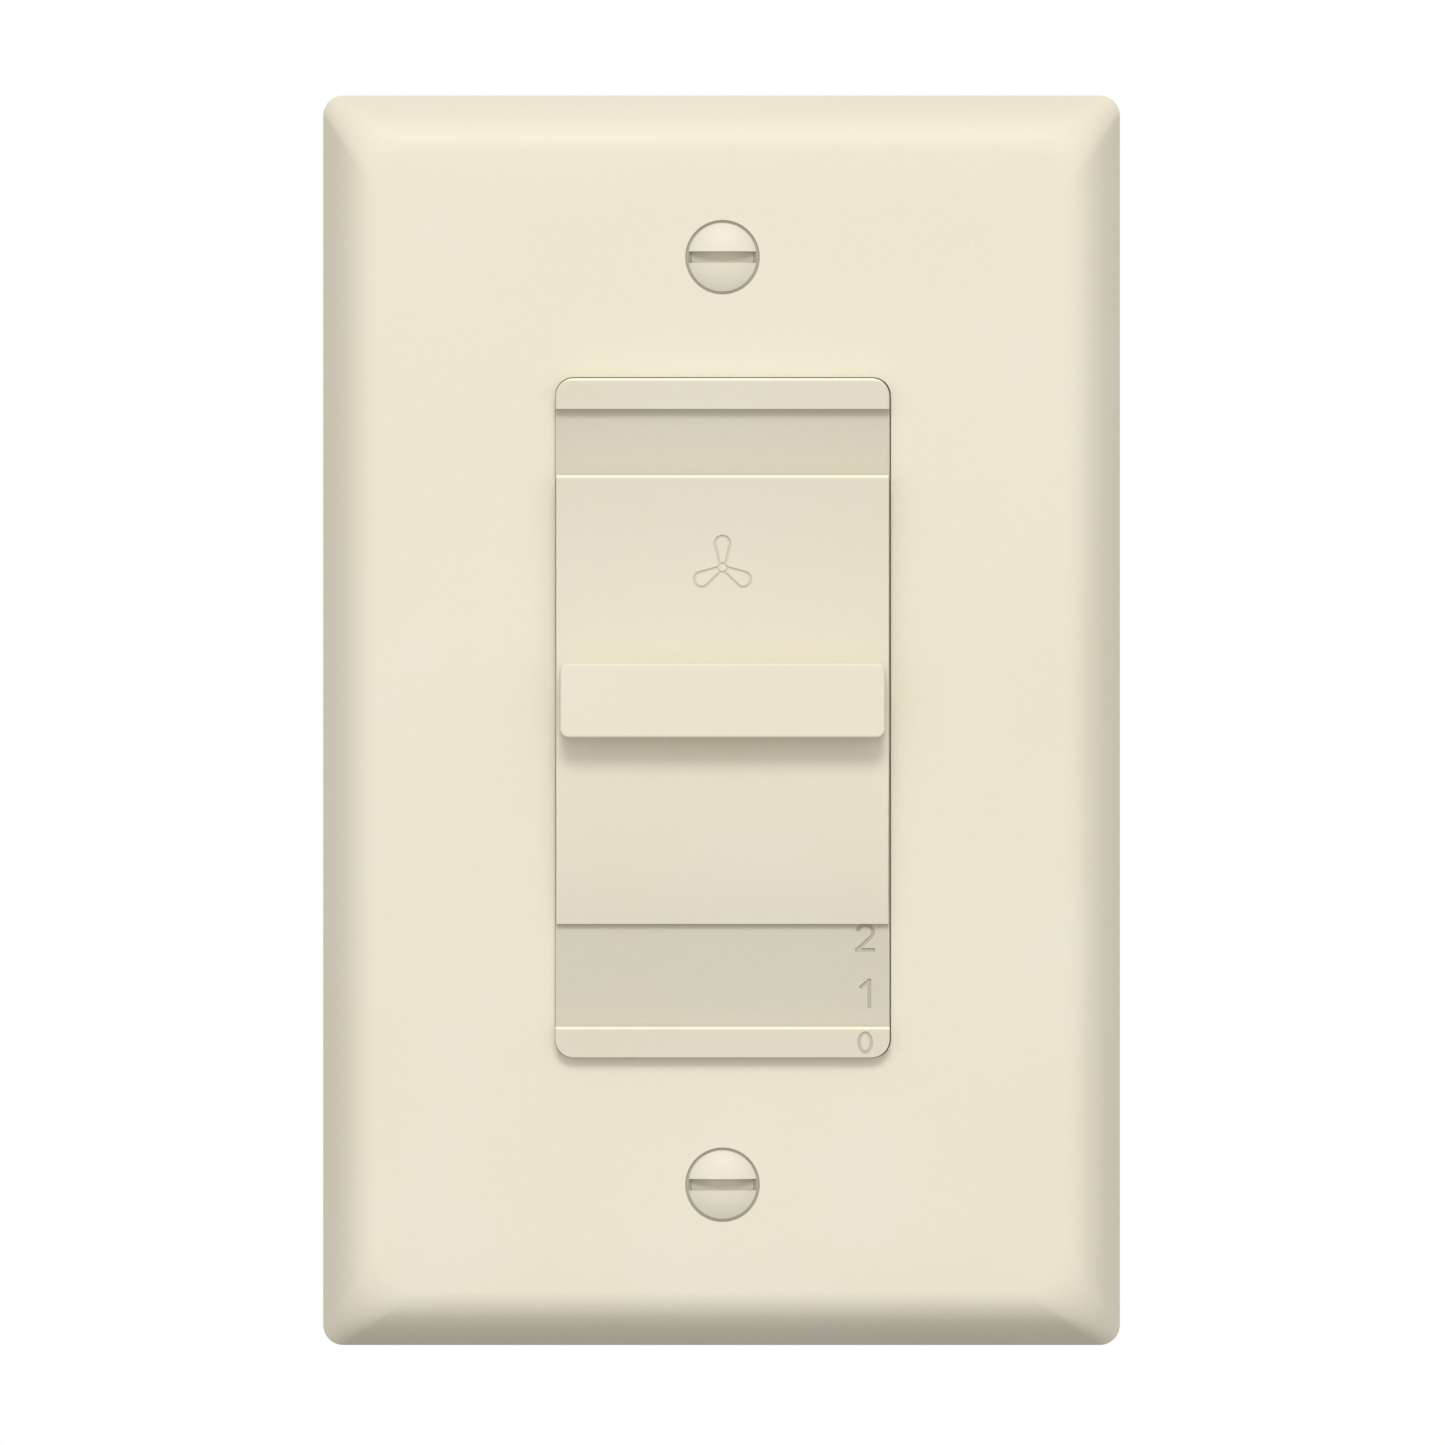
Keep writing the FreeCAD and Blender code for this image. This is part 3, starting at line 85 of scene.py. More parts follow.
class Look:
    """A Principled material with helpers that add nodes. Patterns use object space, in metres."""

    def __init__(self, name, colour, roughness, metallic=0.0, **sockets):
        self.material = bpy.data.materials.new(name)
        self.material.use_nodes = True
        self.tree = self.material.node_tree
        self.shader = self.tree.nodes["Principled BSDF"]
        self.coords = self.add("ShaderNodeTexCoord").outputs["Object"]
        self.colour = (*colour, 1.0)
        self.set_socket("Base Color", self.colour)
        self.set_socket("Roughness", roughness)
        self.set_socket("Metallic", metallic)
        for socket, value in sockets.items():
            self.set_socket(socket.replace("_", " "), value)

    def set_socket(self, socket, value):
        self.shader.inputs[socket].default_value = value

    def add(self, kind, **properties):
        node = self.tree.nodes.new(kind)
        for key, value in properties.items():
            setattr(node, key, value)
        return node

    def wire(self, source, target):
        self.tree.links.new(source, target)

    def axis(self, letter):
        """The object-space coordinate along X, Y or Z, in metres."""
        node = self.add("ShaderNodeSeparateXYZ")
        self.wire(self.coords, node.inputs[0])
        return node.outputs[letter]

    def stretched(self, scale):
        """Coordinates scaled per axis, so that a pattern is drawn out along the smallest factor."""
        node = self.add("ShaderNodeMapping")
        node.inputs["Scale"].default_value = scale
        self.wire(self.coords, node.inputs["Vector"])
        return node.outputs["Vector"]

    def noise(self, size_mm, detail=2.0, rough=0.5, vector=None):
        """Noise from 0 to 1 whose lumps are about size_mm across."""
        node = self.add("ShaderNodeTexNoise")
        node.inputs["Scale"].default_value = 1.0 / (size_mm * MM)
        node.inputs["Detail"].default_value = detail
        node.inputs["Roughness"].default_value = rough
        self.wire(vector or self.coords, node.inputs["Vector"])
        return node.outputs["Fac"]

    def cells(self, size_mm):
        """A random colour for each cell of about size_mm."""
        node = self.add("ShaderNodeTexVoronoi", feature="F1")
        node.inputs["Scale"].default_value = 1.0 / (size_mm * MM)
        self.wire(self.coords, node.inputs["Vector"])
        return node.outputs["Color"]

    def span(self, source, low, high, start=0.3, end=0.7):
        """Maps source from start..end onto low..high, and keeps to that range."""
        node = self.add("ShaderNodeMapRange")
        for socket, value in (("From Min", start), ("From Max", end), ("To Min", low), ("To Max", high)):
            node.inputs[socket].default_value = value
        self.wire(source, node.inputs["Value"])
        return node.outputs["Result"]

    def maths(self, operation, a, b):
        """A math node on two values, each a number or a socket."""
        node = self.add("ShaderNodeMath", operation=operation)
        for socket, value in zip(node.inputs, (a, b)):
            if isinstance(value, (int, float)):
                socket.default_value = value
            else:
                self.wire(value, socket)
        return node.outputs["Value"]

    def mix(self, factor, a, b):
        """Colour a where factor is 0 and b where it is 1."""
        node = self.add("ShaderNodeMix", data_type="RGBA")
        self.wire(factor, node.inputs["Factor"])
        for name, value in (("A", a), ("B", b)):
            socket = [s for s in node.inputs if s.name == name and s.type == "RGBA"][0]
            if isinstance(value, tuple):
                socket.default_value = (*value, 1.0) if len(value) == 3 else value
            else:
                self.wire(value, socket)
        return [s for s in node.outputs if s.type == "RGBA"][0]

    def ramp(self, source, stops_mm):
        """Value along a coordinate, from (place in mm, value) pairs in rising order."""
        low, high = stops_mm[0][0], stops_mm[-1][0]
        node = self.add("ShaderNodeValToRGB")
        self.wire(self.span(source, 0.0, 1.0, low * MM, high * MM), node.inputs[0])
        stops = node.color_ramp.elements
        for place, value in stops_mm[1:-1]:
            stops.new((place - low) / (high - low)).color = (value, value, value, 1.0)
        stops[0].color = (stops_mm[0][1],) * 3 + (1.0,)
        stops[-1].color = (stops_mm[-1][1],) * 3 + (1.0,)
        return node.outputs["Color"]

    def inside(self, letter, low_mm, high_mm):
        """1 between two coordinates, 0 outside."""
        source = self.axis(letter)
        above = self.maths("GREATER_THAN", source, low_mm * MM)
        return self.maths("MULTIPLY", above, self.maths("LESS_THAN", source, high_mm * MM))

    def toned(self, colour, tone):
        """colour multiplied by a value."""
        node = self.add("ShaderNodeVectorMath", operation="SCALE")
        self.wire(colour, node.inputs[0])
        self.wire(tone, node.inputs["Scale"])
        return node.outputs["Vector"]

    def paint(self, colour):
        self.wire(colour, self.shader.inputs["Base Color"])

    def gloss(self, roughness):
        self.wire(roughness, self.shader.inputs["Roughness"])

    def relief(self, *layers):
        """Bumps from (height 0 to 1, depth in mm) pairs."""
        normal = None
        for height, depth_mm in layers:
            node = self.add("ShaderNodeBump")
            node.inputs["Distance"].default_value = depth_mm * MM
            self.wire(height, node.inputs["Height"])
            if normal is not None:
                self.wire(normal, node.inputs["Normal"])
            normal = node.outputs["Normal"]
        self.wire(normal, self.shader.inputs["Normal"])


def shade(colour, factor):
    """colour made darker or lighter by a factor."""
    return tuple(c * factor for c in colour)


# ---------------------------------------------------------------- materials

# Tones multiply a base colour: those of the frame, slider and grip are painted shade, EDGE_TONE a painted
# highlight. SLIDER_TONES holds (height above the slider's middle in mm, tone) pairs.
ALMOND = (0.772, 0.73, 0.592)
ALMOND_WARM = (0.762, 0.712, 0.56)
FLOOR_TONE, LIP_TONE, EDGE_TONE, GRIP_TONE = 0.78, 0.92, 1.13, 0.99
NUMERAL_TONE, FAN_TONE = 0.82, 0.92
# painted shade along the slider's face, with a painted highlight at its top edge
SLIDER_TONES = [(-23.4, 0.9), (-22.4, 0.915), (-16.9, 0.95), (-9.9, 0.965), (-5.9, 0.99), (3.8, 0.965),
                (7.1, 0.945), (12.1, 0.95), (23.0, 0.925), (23.15, EDGE_TONE), (23.4, EDGE_TONE)]
RECESS_SHADE = (0.57, 0.3)           # painted shade: share of light lost at the bottom and at the top of a screw's recess
SLOT_SHADE = (0.07, 0.3)             # painted shade, the same at the middle and at the ends of a screw's slot


def almond_plastic(name, tone):
    """Moulded thermoplastic: faint flow clouds, a fine grain and a soft gloss.

    tone(look) gives a value that darkens parts of it with painted shade and lightens others with painted
    highlights.
    """
    look = Look(name, ALMOND, 0.5, Specular_IOR_Level=0.28, Subsurface_Weight=0.1,
                Subsurface_Scale=0.4 * MM)
    look.set_socket("Subsurface Radius", (1.0, 0.72, 0.4))
    clouds = look.noise(24, detail=3)
    grain = look.noise(0.16, detail=2)
    speck = look.noise(0.45, detail=1)
    drift = look.mix(look.span(clouds, 0.0, 1.0), ALMOND, ALMOND_WARM)
    grained = look.mix(look.span(grain, 0.0, 0.35), drift, shade(ALMOND, 0.955))
    colour = look.mix(look.span(speck, 0.0, 0.2, 0.58, 0.75), grained, shade(ALMOND, 1.06))
    look.paint(look.toned(colour, tone(look)))
    look.gloss(look.maths("ADD", look.span(clouds, 0.46, 0.54), look.span(grain, -0.03, 0.05)))
    look.relief((grain, 0.006), (look.noise(0.7, detail=2), 0.01))
    return look.material


def frame_tone(look):
    """Painted shade makes the lips darker and the channel darker still; a painted highlight lightens the
    lips' top edges. The numerals are darker still.
    """
    y, z = look.axis("Y"), look.axis("Z")
    top_edge = look.inside("Z", FACE_Z + TOP_EDGE[0], FACE_Z + TOP_EDGE[1])
    step_edge = look.maths("MULTIPLY", look.inside("Z", FACE_Z + STEP_EDGE[0], FACE_Z + STEP_EDGE[1]),
                           look.inside("Y", *STEP_DEPTHS))
    # painted highlight along the top edges of both lips
    painted_highlight = look.span(look.maths("MAXIMUM", top_edge, step_edge), 1.0, EDGE_TONE / LIP_TONE, 0.0, 1.0)
    # painted shade: the lips darker than the plate, the channel floor darker still
    surface = look.ramp(y, [(LIP_DEPTH, LIP_TONE), (FLOOR_DEPTHS[0], FLOOR_TONE),
                            (FLOOR_DEPTHS[1], FLOOR_TONE), (NUMERAL_DEPTH, FLOOR_TONE * NUMERAL_TONE)])
    below_face = look.maths("ADD", y, look.maths("MULTIPLY", z, LIP_LEAN))
    cut = look.maths("GREATER_THAN", below_face, (LIP_FACE + LIP_TOP * LIP_LEAN + MARK_DEPTH) * MM)
    zero = look.maths("MULTIPLY", look.inside("X", *ZERO_X),
                      look.inside("Z", LIP_TOP + ZERO_Z[0], LIP_TOP + ZERO_Z[1]))
    mask = look.maths("MULTIPLY", cut, zero)
    surface = look.maths("MULTIPLY", surface, painted_highlight)
    return look.maths("MULTIPLY", surface, look.span(mask, 1.0, NUMERAL_TONE, 0.0, 1.0))


def slider_tone(look):
    """Painted shade darkening the face towards both ends, a painted highlight along its top edge, darker in
    the fan mark.
    """
    y, z = look.axis("Y"), look.axis("Z")
    z = look.maths("SUBTRACT", z, SLIDER_Z * MM)
    # painted shade towards both ends of the slider's face, and a painted highlight along its top edge
    along = look.ramp(z, SLIDER_TONES)
    on_grip = look.span(y, 1.0, 0.0, GRIP_DEPTHS[0] * MM, GRIP_DEPTHS[1] * MM)
    beside = look.maths("MULTIPLY", along, look.maths("SUBTRACT", 1.0, on_grip))
    face = look.maths("ADD", beside, look.maths("MULTIPLY", on_grip, GRIP_TONE))
    past = look.maths("SUBTRACT", z, BEND_START * MM)
    bend = look.maths("MULTIPLY", look.maths("MULTIPLY", past, past), BEND / MM)
    depth = look.maths("SUBTRACT", look.maths("SUBTRACT", y, bend), SLIDER_FACE * MM)
    cut = look.maths("GREATER_THAN", depth, MARK_DEPTH * MM)
    fan = look.maths("MULTIPLY", look.inside("X", *FAN_X),
                     look.inside("Z", SLIDER_Z + FAN_Z[0], SLIDER_Z + FAN_Z[1]))
    mask = look.maths("MULTIPLY", cut, fan)
    return look.maths("MULTIPLY", face, look.span(mask, 1.0, FAN_TONE, 0.0, 1.0))


def from_screw(look):
    """Height above the axis of the nearer plate screw, in metres."""
    z = look.axis("Z")
    return look.maths("SUBTRACT", z, look.maths("MULTIPLY", look.maths("SIGN", z, 0.0), SCREW_Z * MM))


def painted_shade(look, mask, shares, place, start_mm, end_mm):
    """Painted shade where mask is 1: the share of light lost goes from shares[0] to shares[1] along place.
    """
    lost = look.span(place, *shares, start_mm * MM, end_mm * MM)
    return look.maths("SUBTRACT", 1.0, look.maths("MULTIPLY", mask, lost))


def recess_tone(look):
    """Painted shade in the recesses round the screws, darkest at the bottom."""
    across, up = look.axis("X"), from_screw(look)
    square = look.maths("ADD", look.maths("MULTIPLY", across, across), look.maths("MULTIPLY", up, up))
    recess = look.span(square, 1.0, 0.0, ((RECESS_R - 0.03) * MM) ** 2, ((RECESS_R + 0.03) * MM) ** 2)
    # painted shade in the recess round each screw head, darker towards the bottom
    return painted_shade(look, recess, RECESS_SHADE, up, -SHADE_SPAN, SHADE_SPAN)


def almond_enamel(name):
    """Enamel over a steel head, with a trace of orange peel, and painted shade in the slot, darkest at its
    ends.
    """
    look = Look(name, ALMOND, 0.45, Specular_IOR_Level=0.22)
    peel = look.noise(0.5, detail=2)
    dust = look.noise(0.12, detail=3)
    enamel = look.mix(look.span(dust, 0.0, 0.3), shade(ALMOND, 0.96), shade(ALMOND, 0.91))
    along_slot = look.maths("ABSOLUTE", look.axis("X"), 0.0)
    in_slot = look.maths("LESS_THAN", look.maths("ABSOLUTE", from_screw(look), 0.0), SLOT_HALF * MM)
    # painted shade in the slot, darker towards its ends
    look.paint(look.toned(enamel, painted_shade(look, in_slot, SLOT_SHADE, along_slot, 1.0, 3.0)))
    look.gloss(look.span(peel, 0.4, 0.52))
    look.relief((peel, 0.006), (dust, 0.003))
    return look.material


def plated_steel(name, colour=(0.66, 0.67, 0.69), rough=(0.24, 0.42)):
    """Zinc-plated steel: cloudy plating and short tumbling scratches."""
    look = Look(name, colour, 0.32, metallic=1.0)
    cloud = look.noise(2.2, detail=4, rough=0.6)
    scratch = look.noise(0.6, detail=3, vector=look.stretched((1.0, 9.0, 3.0)))
    fine = look.noise(0.09, detail=2)
    tone = look.mix(look.span(cloud, 0.0, 1.0), shade(colour, 0.86), shade(colour, 1.05))
    look.paint(look.mix(look.span(scratch, 0.0, 0.5, 0.55, 0.7), tone, shade(colour, 1.15)))
    look.gloss(look.maths("ADD", look.span(cloud, *rough), look.span(fine, -0.03, 0.05)))
    look.relief((scratch, 0.004), (fine, 0.002))
    return look.material


def galvanised_steel(name):
    """Hot-dip galvanised strip: spangles of differing brightness under rolling lines."""
    colour = (0.56, 0.575, 0.59)
    look = Look(name, colour, 0.4, metallic=1.0)
    spangle = look.cells(3.2)
    lines = look.noise(0.5, detail=3, vector=look.stretched((6.0, 1.0, 0.35)))
    dull = look.noise(7, detail=4)
    tone = look.mix(look.span(spangle, 0.0, 1.0, 0.0, 1.0), shade(colour, 0.78), shade(colour, 1.12))
    look.paint(look.mix(look.span(dull, 0.0, 0.5), tone, (0.42, 0.43, 0.44)))
    look.gloss(look.maths("ADD", look.span(spangle, 0.3, 0.44, 0.0, 1.0), look.span(lines, -0.04, 0.08)))
    look.relief((lines, 0.005), (look.noise(0.2, detail=2), 0.003))
    return look.material


def brass(name):
    """Turned brass with light tarnish and tool marks."""
    bright, dark = (0.79, 0.58, 0.27), (0.5, 0.33, 0.13)
    look = Look(name, bright, 0.26, metallic=1.0)
    tarnish = look.noise(1.8, detail=5, rough=0.6)
    marks = look.noise(0.25, detail=3, vector=look.stretched((8.0, 1.0, 1.0)))
    look.paint(look.mix(look.span(tarnish, 0.0, 0.75, 0.4, 0.75), bright, dark))
    look.gloss(look.maths("ADD", look.span(tarnish, 0.2, 0.42), look.span(marks, -0.04, 0.06)))
    look.relief((marks, 0.004))
    return look.material


def dyed_screw(name):
    """Green-dyed zinc of a ground screw, with thinner, paler patches of dye."""
    green, pale = (0.035, 0.27, 0.085), (0.2, 0.42, 0.22)
    look = Look(name, green, 0.34, metallic=0.72)
    patch = look.noise(0.9, detail=4)
    fine = look.noise(0.12, detail=2)
    look.paint(look.mix(look.span(patch, 0.0, 0.5, 0.5, 0.75), green, pale))
    look.gloss(look.span(patch, 0.26, 0.46))
    look.relief((patch, 0.006), (fine, 0.003))
    return look.material


def dark_thermoset(name):
    """Moulded housing: spark-eroded texture, flow clouds and pale dust in the grain."""
    base, dusty = (0.03, 0.03, 0.032), (0.075, 0.073, 0.07)
    look = Look(name, base, 0.5, Specular_IOR_Level=0.5)
    erosion = look.noise(0.28, detail=3, rough=0.65)
    clouds = look.noise(11, detail=4)
    dust = look.noise(1.4, detail=5)
    tone = look.mix(look.span(clouds, 0.0, 0.45), base, dusty)
    look.paint(look.mix(look.span(dust, 0.0, 0.35, 0.55, 0.8), tone, shade(dusty, 1.5)))
    look.gloss(look.maths("ADD", look.span(clouds, 0.42, 0.54), look.span(erosion, -0.05, 0.08)))
    look.relief((erosion, 0.02), (look.noise(2.5, detail=2), 0.012))
    return look.material


def pressed_fibre(name):
    """Vulcanised fibre sheet with matted strands."""
    base, dark = (0.27, 0.12, 0.06), (0.12, 0.05, 0.025)
    look = Look(name, base, 0.68)
    strands = look.noise(0.5, detail=5, vector=look.stretched((1.0, 1.0, 5.0)))
    cross = look.noise(0.5, detail=5, vector=look.stretched((5.0, 1.0, 1.0)))
    felt = look.maths("MULTIPLY", strands, cross)
    look.paint(look.mix(look.span(felt, 0.0, 1.0, 0.12, 0.4), base, dark))
    look.gloss(look.span(felt, 0.58, 0.78, 0.12, 0.4))
    look.relief((felt, 0.02))
    return look.material


def clear_moulding(name, base, rough=0.42, translucent=0.25):
    """Unfilled nylon or acetal: slightly translucent, with sink marks."""
    look = Look(name, base, rough, Subsurface_Weight=translucent, Subsurface_Scale=1.2 * MM)
    sink = look.noise(4, detail=2)
    grain = look.noise(0.2, detail=2)
    look.paint(look.mix(look.span(sink, 0.0, 1.0), shade(base, 0.94), shade(base, 1.04)))
    look.gloss(look.span(grain, rough - 0.06, rough + 0.08))
    look.relief((sink, 0.02), (grain, 0.004))
    return look.material


def laminate(name, base, weave_mm, shift):
    """Pressed laminate: the weave or paper shows through the resin."""
    look = Look(name, base, 0.36, Coat_Weight=0.3, Coat_Roughness=0.2)
    warp = look.noise(weave_mm, detail=2, vector=look.stretched((1.0, 1.0, 4.0)))
    weft = look.noise(weave_mm, detail=2, vector=look.stretched((4.0, 1.0, 1.0)))
    weave = look.maths("MAXIMUM", warp, weft)
    look.paint(look.mix(look.span(weave, 0.0, 1.0, 0.45, 0.7), base, shade(base, shift)))
    look.gloss(look.span(weave, 0.3, 0.46, 0.45, 0.7))
    look.relief((weave, 0.008))
    return look.material


def dipped(name, base, rough=0.3, lump_mm=1.6):
    """Epoxy or lacquer over a component: uneven gloss and a lumpy coat."""
    look = Look(name, base, rough, Coat_Weight=0.35, Coat_Roughness=0.15)
    lumps = look.noise(lump_mm, detail=3)
    fine = look.noise(0.15, detail=2)
    look.paint(look.mix(look.span(lumps, 0.0, 1.0), shade(base, 0.85), shade(base, 1.12)))
    look.gloss(look.span(lumps, rough - 0.08, rough + 0.12))
    look.relief((lumps, 0.03), (fine, 0.003))
    return look.material


ALMOND_PARTS = {
    "wall_plate": almond_plastic("almond_plastic_plate", recess_tone),
    "front_frame": almond_plastic("almond_plastic_frame", frame_tone),
    "slider": almond_plastic("almond_plastic_slider", slider_tone),
}
LOOKS = {
    "almond_enamel": almond_enamel("almond_enamel"),
    "natural_nylon": clear_moulding("natural_nylon", (0.74, 0.72, 0.64)),
    "zinc_steel": plated_steel("zinc_steel"),
    "galvanised_steel": galvanised_steel("galvanised_steel"),
    "fibre": pressed_fibre("fibre"),
    "green_enamel": dyed_screw("green_enamel"),
    "phenolic": laminate("phenolic", (0.3, 0.15, 0.06), 0.8, 0.7),
    "contact_brass": brass("contact_brass"),
    "polished_steel": plated_steel("polished_steel", (0.72, 0.72, 0.74), (0.08, 0.2)),
    "circuit_laminate": laminate("circuit_laminate", (0.03, 0.2, 0.07), 0.6, 0.75),
    "capacitor_case": dipped("capacitor_case", (0.7, 0.5, 0.07), 0.34, 3.0),
    "varistor_coating": dipped("varistor_coating", (0.03, 0.12, 0.42)),
    "fuse_can": plated_steel("fuse_can", (0.8, 0.8, 0.82), (0.15, 0.3)),
    "resistor_coating": dipped("resistor_coating", (0.5, 0.38, 0.22), 0.28, 0.8),
    "dark_thermoset": dark_thermoset("dark_thermoset"),
    "terminal_brass": brass("terminal_brass"),
}


def dress(obj, material):
    """Gives an object one material."""
    obj.data.materials.clear()
    obj.data.materials.append(material)


slot_of = {s["node"]: s["material_slot"] for s in frame["record"]["subparts"]}
for name, obj in nodes.items():
    dress(obj, ALMOND_PARTS[name] if name in ALMOND_PARTS else LOOKS[slot_of[name]])


# ---------------------------------------------------------------- smooth shading of the plate's rim

def smoothing_group(limit_deg):
    """Welds the faces of a CAD mesh and shades it smooth across edges flatter than limit_deg."""
    group = bpy.data.node_groups.new("weld_and_smooth", "GeometryNodeTree")
    group.interface.new_socket("Geometry", in_out="INPUT", socket_type="NodeSocketGeometry")
    group.interface.new_socket("Geometry", in_out="OUTPUT", socket_type="NodeSocketGeometry")
    add, link = group.nodes.new, group.links.new
    source, target = add("NodeGroupInput"), add("NodeGroupOutput")
    forget = add("GeometryNodeRemoveAttribute")
    forget.inputs["Name"].default_value = "custom_normal"
    weld = add("GeometryNodeMergeByDistance")
    weld.inputs["Distance"].default_value = 0.002 * MM
    faces = add("GeometryNodeSetShadeSmooth")
    edges = add("GeometryNodeSetShadeSmooth")
    edges.domain = "EDGE"
    angle = add("GeometryNodeInputMeshEdgeAngle")
    flat = add("FunctionNodeCompare")
    flat.operation = "LESS_THAN"
    flat.inputs["B"].default_value = math.radians(limit_deg)
    link(source.outputs[0], forget.inputs["Geometry"])
    link(forget.outputs["Geometry"], weld.inputs["Geometry"])
    link(weld.outputs["Geometry"], faces.inputs["Geometry"])
    link(faces.outputs["Geometry"], edges.inputs["Geometry"])
    link(angle.outputs["Unsigned Angle"], flat.inputs["A"])
    link(flat.outputs["Result"], edges.inputs["Shade Smooth"])
    link(edges.outputs["Geometry"], target.inputs[0])
    return group


def smooth(obj):
    """Shades a CAD node smooth across its flatter edges, with modifiers only."""
    obj.modifiers.new("weld_and_smooth", "NODES").node_group = smoothing_group(30.0)
    weighted = obj.modifiers.new("weighted_normals", "WEIGHTED_NORMAL")
    weighted.keep_sharp = True
    weighted.weight = 60


smooth(nodes["wall_plate"])


# ---------------------------------------------------------------- screw threads

INTO_WALL, TO_RIGHT = Vector((0, 1, 0)), Vector((1, 0, 0))
THREAD_6_32 = {"major_mm": 1.72, "minor_mm": 1.38, "pitch_mm": 0.794}
THREAD_8_32 = {"major_mm": 2.04, "minor_mm": 1.66, "pitch_mm": 0.794}


def add_thread(shape, foot, tip, major, minor, pitch):
    """A helical thread from foot to tip, running out at the foot and chamfered at the tip."""
    rows_per_turn, around = 8, 28
    along = (tip - foot).normalized()
    side = along.orthogonal().normalized()
    up = along.cross(side)
    length = (tip - foot).length
    rows = round(length / pitch * rows_per_turn)
    rings = []
    for i in range(rows + 1):
        t = length * i / rows
        run_in = min(1.0, t / pitch)
        ceiling = major - max(0.0, t - (length - 0.5 * MM)) * 0.8
        ring = []
        for j in range(around):
            turn = j / around
            ridge = 1.0 - abs(2.0 * ((t / pitch - turn) % 1.0) - 1.0)
            height = min(1.0, max(0.0, (ridge - 0.12) / 0.7)) * run_in
            radius = min(ceiling, minor + (major - minor) * height)
            a = 2 * math.pi * turn
            outward = side * math.cos(a) + up * math.sin(a)
            ring.append(shape.verts.new(foot + along * t + outward * radius))
        rings.append(ring)
    for low, high in zip(rings, rings[1:]):
        for j in range(around):
            k = (j + 1) % around
            shape.faces.new((low[j], low[k], high[k], high[j]))
    shape.faces.new(list(reversed(rings[0])))
    shape.faces.new(rings[-1])


def threaded(name, along, shank_look, cut_mm, tip_mm, major_mm, minor_mm, pitch_mm):
    """Remakes the screws of a node with their plain shanks turned into real threads past the cut.

    cut_mm and tip_mm are places along the screws' direction, from the wall's surface or the middle.
    """
    low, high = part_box(name)
    middle, head_r = (low + high) / 2, (high.x - low.x) / 2
    if along.x:
        centres = [middle]
    else:
        centres = [Vector((middle.x, 0, z)) for z in (low.z + head_r, high.z - head_r)]
    shape = bmesh.new()
    shape.from_mesh(nodes[name].data)
    shape.transform(nodes[name].matrix_world)
    bmesh.ops.remove_doubles(shape, verts=shape.verts, dist=0.001 * MM)
    everything = shape.verts[:] + shape.edges[:] + shape.faces[:]
    bmesh.ops.bisect_plane(shape, geom=everything, dist=1e-7, plane_co=along * cut_mm * MM,
                           plane_no=along, clear_outer=True)
    rim = [e for e in shape.edges if e.is_boundary
           and all(abs(v.co.dot(along) - cut_mm * MM) < 1e-6 for v in e.verts)]
    bmesh.ops.holes_fill(shape, edges=rim, sides=0)
    for centre in centres:
        flat = centre - along * centre.dot(along)
        add_thread(shape, flat + along * (cut_mm - 0.2) * MM, flat + along * tip_mm * MM,
                   major_mm * MM, minor_mm * MM, pitch_mm * MM)
    mesh = bpy.data.meshes.new(name + "_threaded")
    shape.to_mesh(mesh)
    shape.free()
    if "custom_normal" in mesh.attributes:
        mesh.attributes.remove(mesh.attributes["custom_normal"])
    mesh.shade_smooth()
    mesh.set_sharp_from_angle(angle=math.radians(32.0))
    screw = bpy.data.objects.new(name + "_threaded", mesh)
    bpy.context.scene.collection.objects.link(screw)
    dress(screw, LOOKS[slot_of[name]])
    mesh.materials.append(LOOKS[shank_look])
    for polygon in mesh.polygons:
        polygon.material_index = 1 if polygon.center.dot(along) > (cut_mm - 0.1) * MM else 0
    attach(screw, "device")
    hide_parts(name)


threaded("box_screws", INTO_WALL, "zinc_steel", cut_mm=0.45, tip_mm=17.65, **THREAD_6_32)
threaded("plate_screws", INTO_WALL, "zinc_steel", cut_mm=-3.9, tip_mm=5.68, **THREAD_6_32)
threaded("ground_screw", TO_RIGHT, "green_enamel", cut_mm=-16.0, tip_mm=-9.02, **THREAD_8_32)


# ---------------------------------------------------------------- camera

FRAME_MM = 150.8            # width of the view at the plate's face
LENS_MM, SENSOR_MM = 400.0, 36.0
AIM_X, AIM_Z = 0.1, -0.235  # the middle of the view, from the middle of the plate, in mm


def make_camera():
    low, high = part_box("wall_plate")
    distance = FRAME_MM * MM * LENS_MM / SENSOR_MM
    data = bpy.data.cameras.new("camera")
    data.lens, data.sensor_width = LENS_MM, SENSOR_MM
    data.clip_start, data.clip_end = 0.05, 50.0
    camera = bpy.data.objects.new("camera", data)
    bpy.context.scene.collection.objects.link(camera)
    middle = (low + high) / 2
    camera.location = (middle.x + AIM_X * MM, low.y - distance, middle.z + AIM_Z * MM)
    camera.rotation_euler = (math.radians(90), 0, 0)
    bpy.context.scene.camera = camera


make_camera()


# ---------------------------------------------------------------- light and floor

def area_light(name, place, aim, size, watts):
    """A rectangular white light at a place, turned towards aim."""
    data = bpy.data.lights.new(name, "AREA")
    data.shape = "RECTANGLE"
    data.size, data.size_y = size
    data.energy = watts
    light = bpy.data.objects.new(name, data)
    bpy.context.scene.collection.objects.link(light)
    light.location = place
    light.rotation_euler = (Vector(aim) - Vector(place)).to_track_quat("-Z", "Y").to_euler()


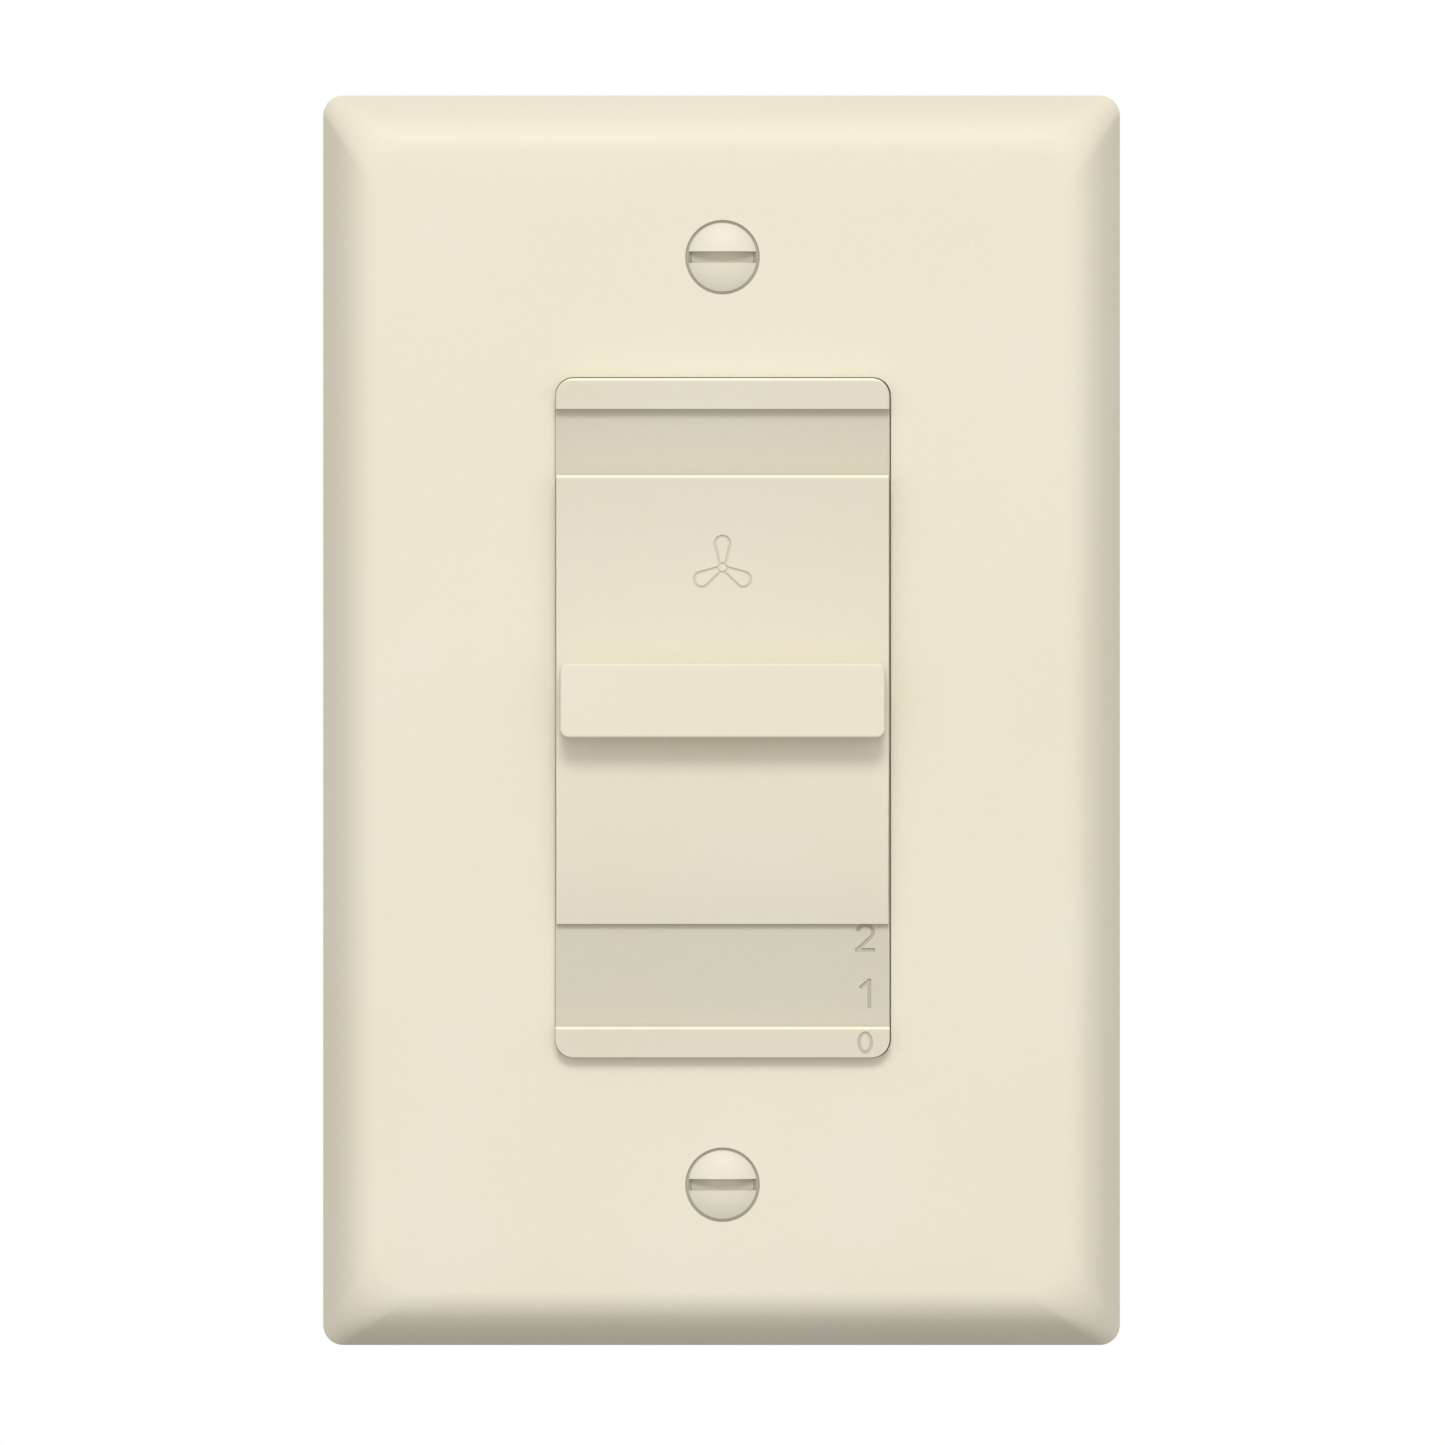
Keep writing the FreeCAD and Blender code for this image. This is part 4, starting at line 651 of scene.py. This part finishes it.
def make_world(level, front, up, back, under, dusk):
    """White to the camera. To the object, a dome brighter in front and above, dark underneath.

    level is the radiance at the sides. front, up and back are what is added towards the room, the
    ceiling and the wall. The dome fades to the share under between the heights dusk[1] and dusk[0]
    of the direction.
    """
    world = bpy.data.worlds.new("studio")
    bpy.context.scene.world = world
    world.use_nodes = True
    tree = world.node_tree
    tree.nodes.clear()
    add, link = tree.nodes.new, tree.links.new

    def maths(operation, *values):
        node = add("ShaderNodeMath")
        node.operation = operation
        for socket, value in zip(node.inputs, values):
            if isinstance(value, (int, float)):
                socket.default_value = value
            else:
                link(value, socket)
        return node.outputs[0]

    coords, split = add("ShaderNodeTexCoord"), add("ShaderNodeSeparateXYZ")
    link(coords.outputs["Generated"], split.inputs[0])
    fade = add("ShaderNodeMapRange")
    fade.interpolation_type = "SMOOTHSTEP"
    for socket, value in (("From Min", dusk[0]), ("From Max", dusk[1]), ("To Min", under), ("To Max", 1.0)):
        fade.inputs[socket].default_value = value
    link(split.outputs["Z"], fade.inputs["Value"])
    forward = maths("MAXIMUM", maths("MULTIPLY", split.outputs["Y"], -front), 0.0)
    above = maths("MULTIPLY", maths("MAXIMUM", split.outputs["Z"], 0.0), up)
    behind = maths("MULTIPLY", maths("POWER", maths("MAXIMUM", split.outputs["Y"], 0.0), 2.0), back)
    around = maths("MULTIPLY", maths("ADD", forward, level), fade.outputs["Result"])
    dome, backdrop = add("ShaderNodeBackground"), add("ShaderNodeBackground")
    for shader in (dome, backdrop):
        shader.inputs["Color"].default_value = (1.0, 1.0, 1.0, 1.0)
    link(maths("ADD", maths("ADD", around, above), behind), dome.inputs["Strength"])
    path, choose, out = add("ShaderNodeLightPath"), add("ShaderNodeMixShader"), add("ShaderNodeOutputWorld")
    link(path.outputs["Is Camera Ray"], choose.inputs["Fac"])
    link(dome.outputs[0], choose.inputs[1])
    link(backdrop.outputs[0], choose.inputs[2])
    link(choose.outputs[0], out.inputs["Surface"])


def make_floor(z, radius):
    """A pale disc under the object that fades into the white backdrop."""
    mesh = bpy.data.meshes.new("floor")
    shape = bmesh.new()
    bmesh.ops.create_circle(shape, cap_ends=True, radius=radius, segments=96)
    shape.to_mesh(mesh)
    shape.free()
    floor = bpy.data.objects.new("floor", mesh)
    bpy.context.scene.collection.objects.link(floor)
    floor.location.z = z
    look = Look("floor", (0.94, 0.94, 0.93), 0.75)
    mottle = look.noise(60, detail=4)
    look.paint(look.mix(look.span(mottle, 0.0, 1.0), (0.93, 0.93, 0.92), (0.95, 0.95, 0.94)))
    look.gloss(look.span(mottle, 0.65, 0.8))
    dress(floor, look.material)
    floor.visible_diffuse = False
    floor.visible_glossy = False


make_world(level=0.15, front=0.9, up=0.22, back=1.1, under=0.62, dusk=(-1.0, -0.4))
area_light("key", place=(0.0, -2.6, 2.2), aim=(0, 0, 0), size=(1.4, 1.0), watts=51.0)
make_floor(z=-0.34, radius=1.1)
bpy.context.scene.view_settings.view_transform = "Standard"
bpy.context.scene.view_settings.look = "None"
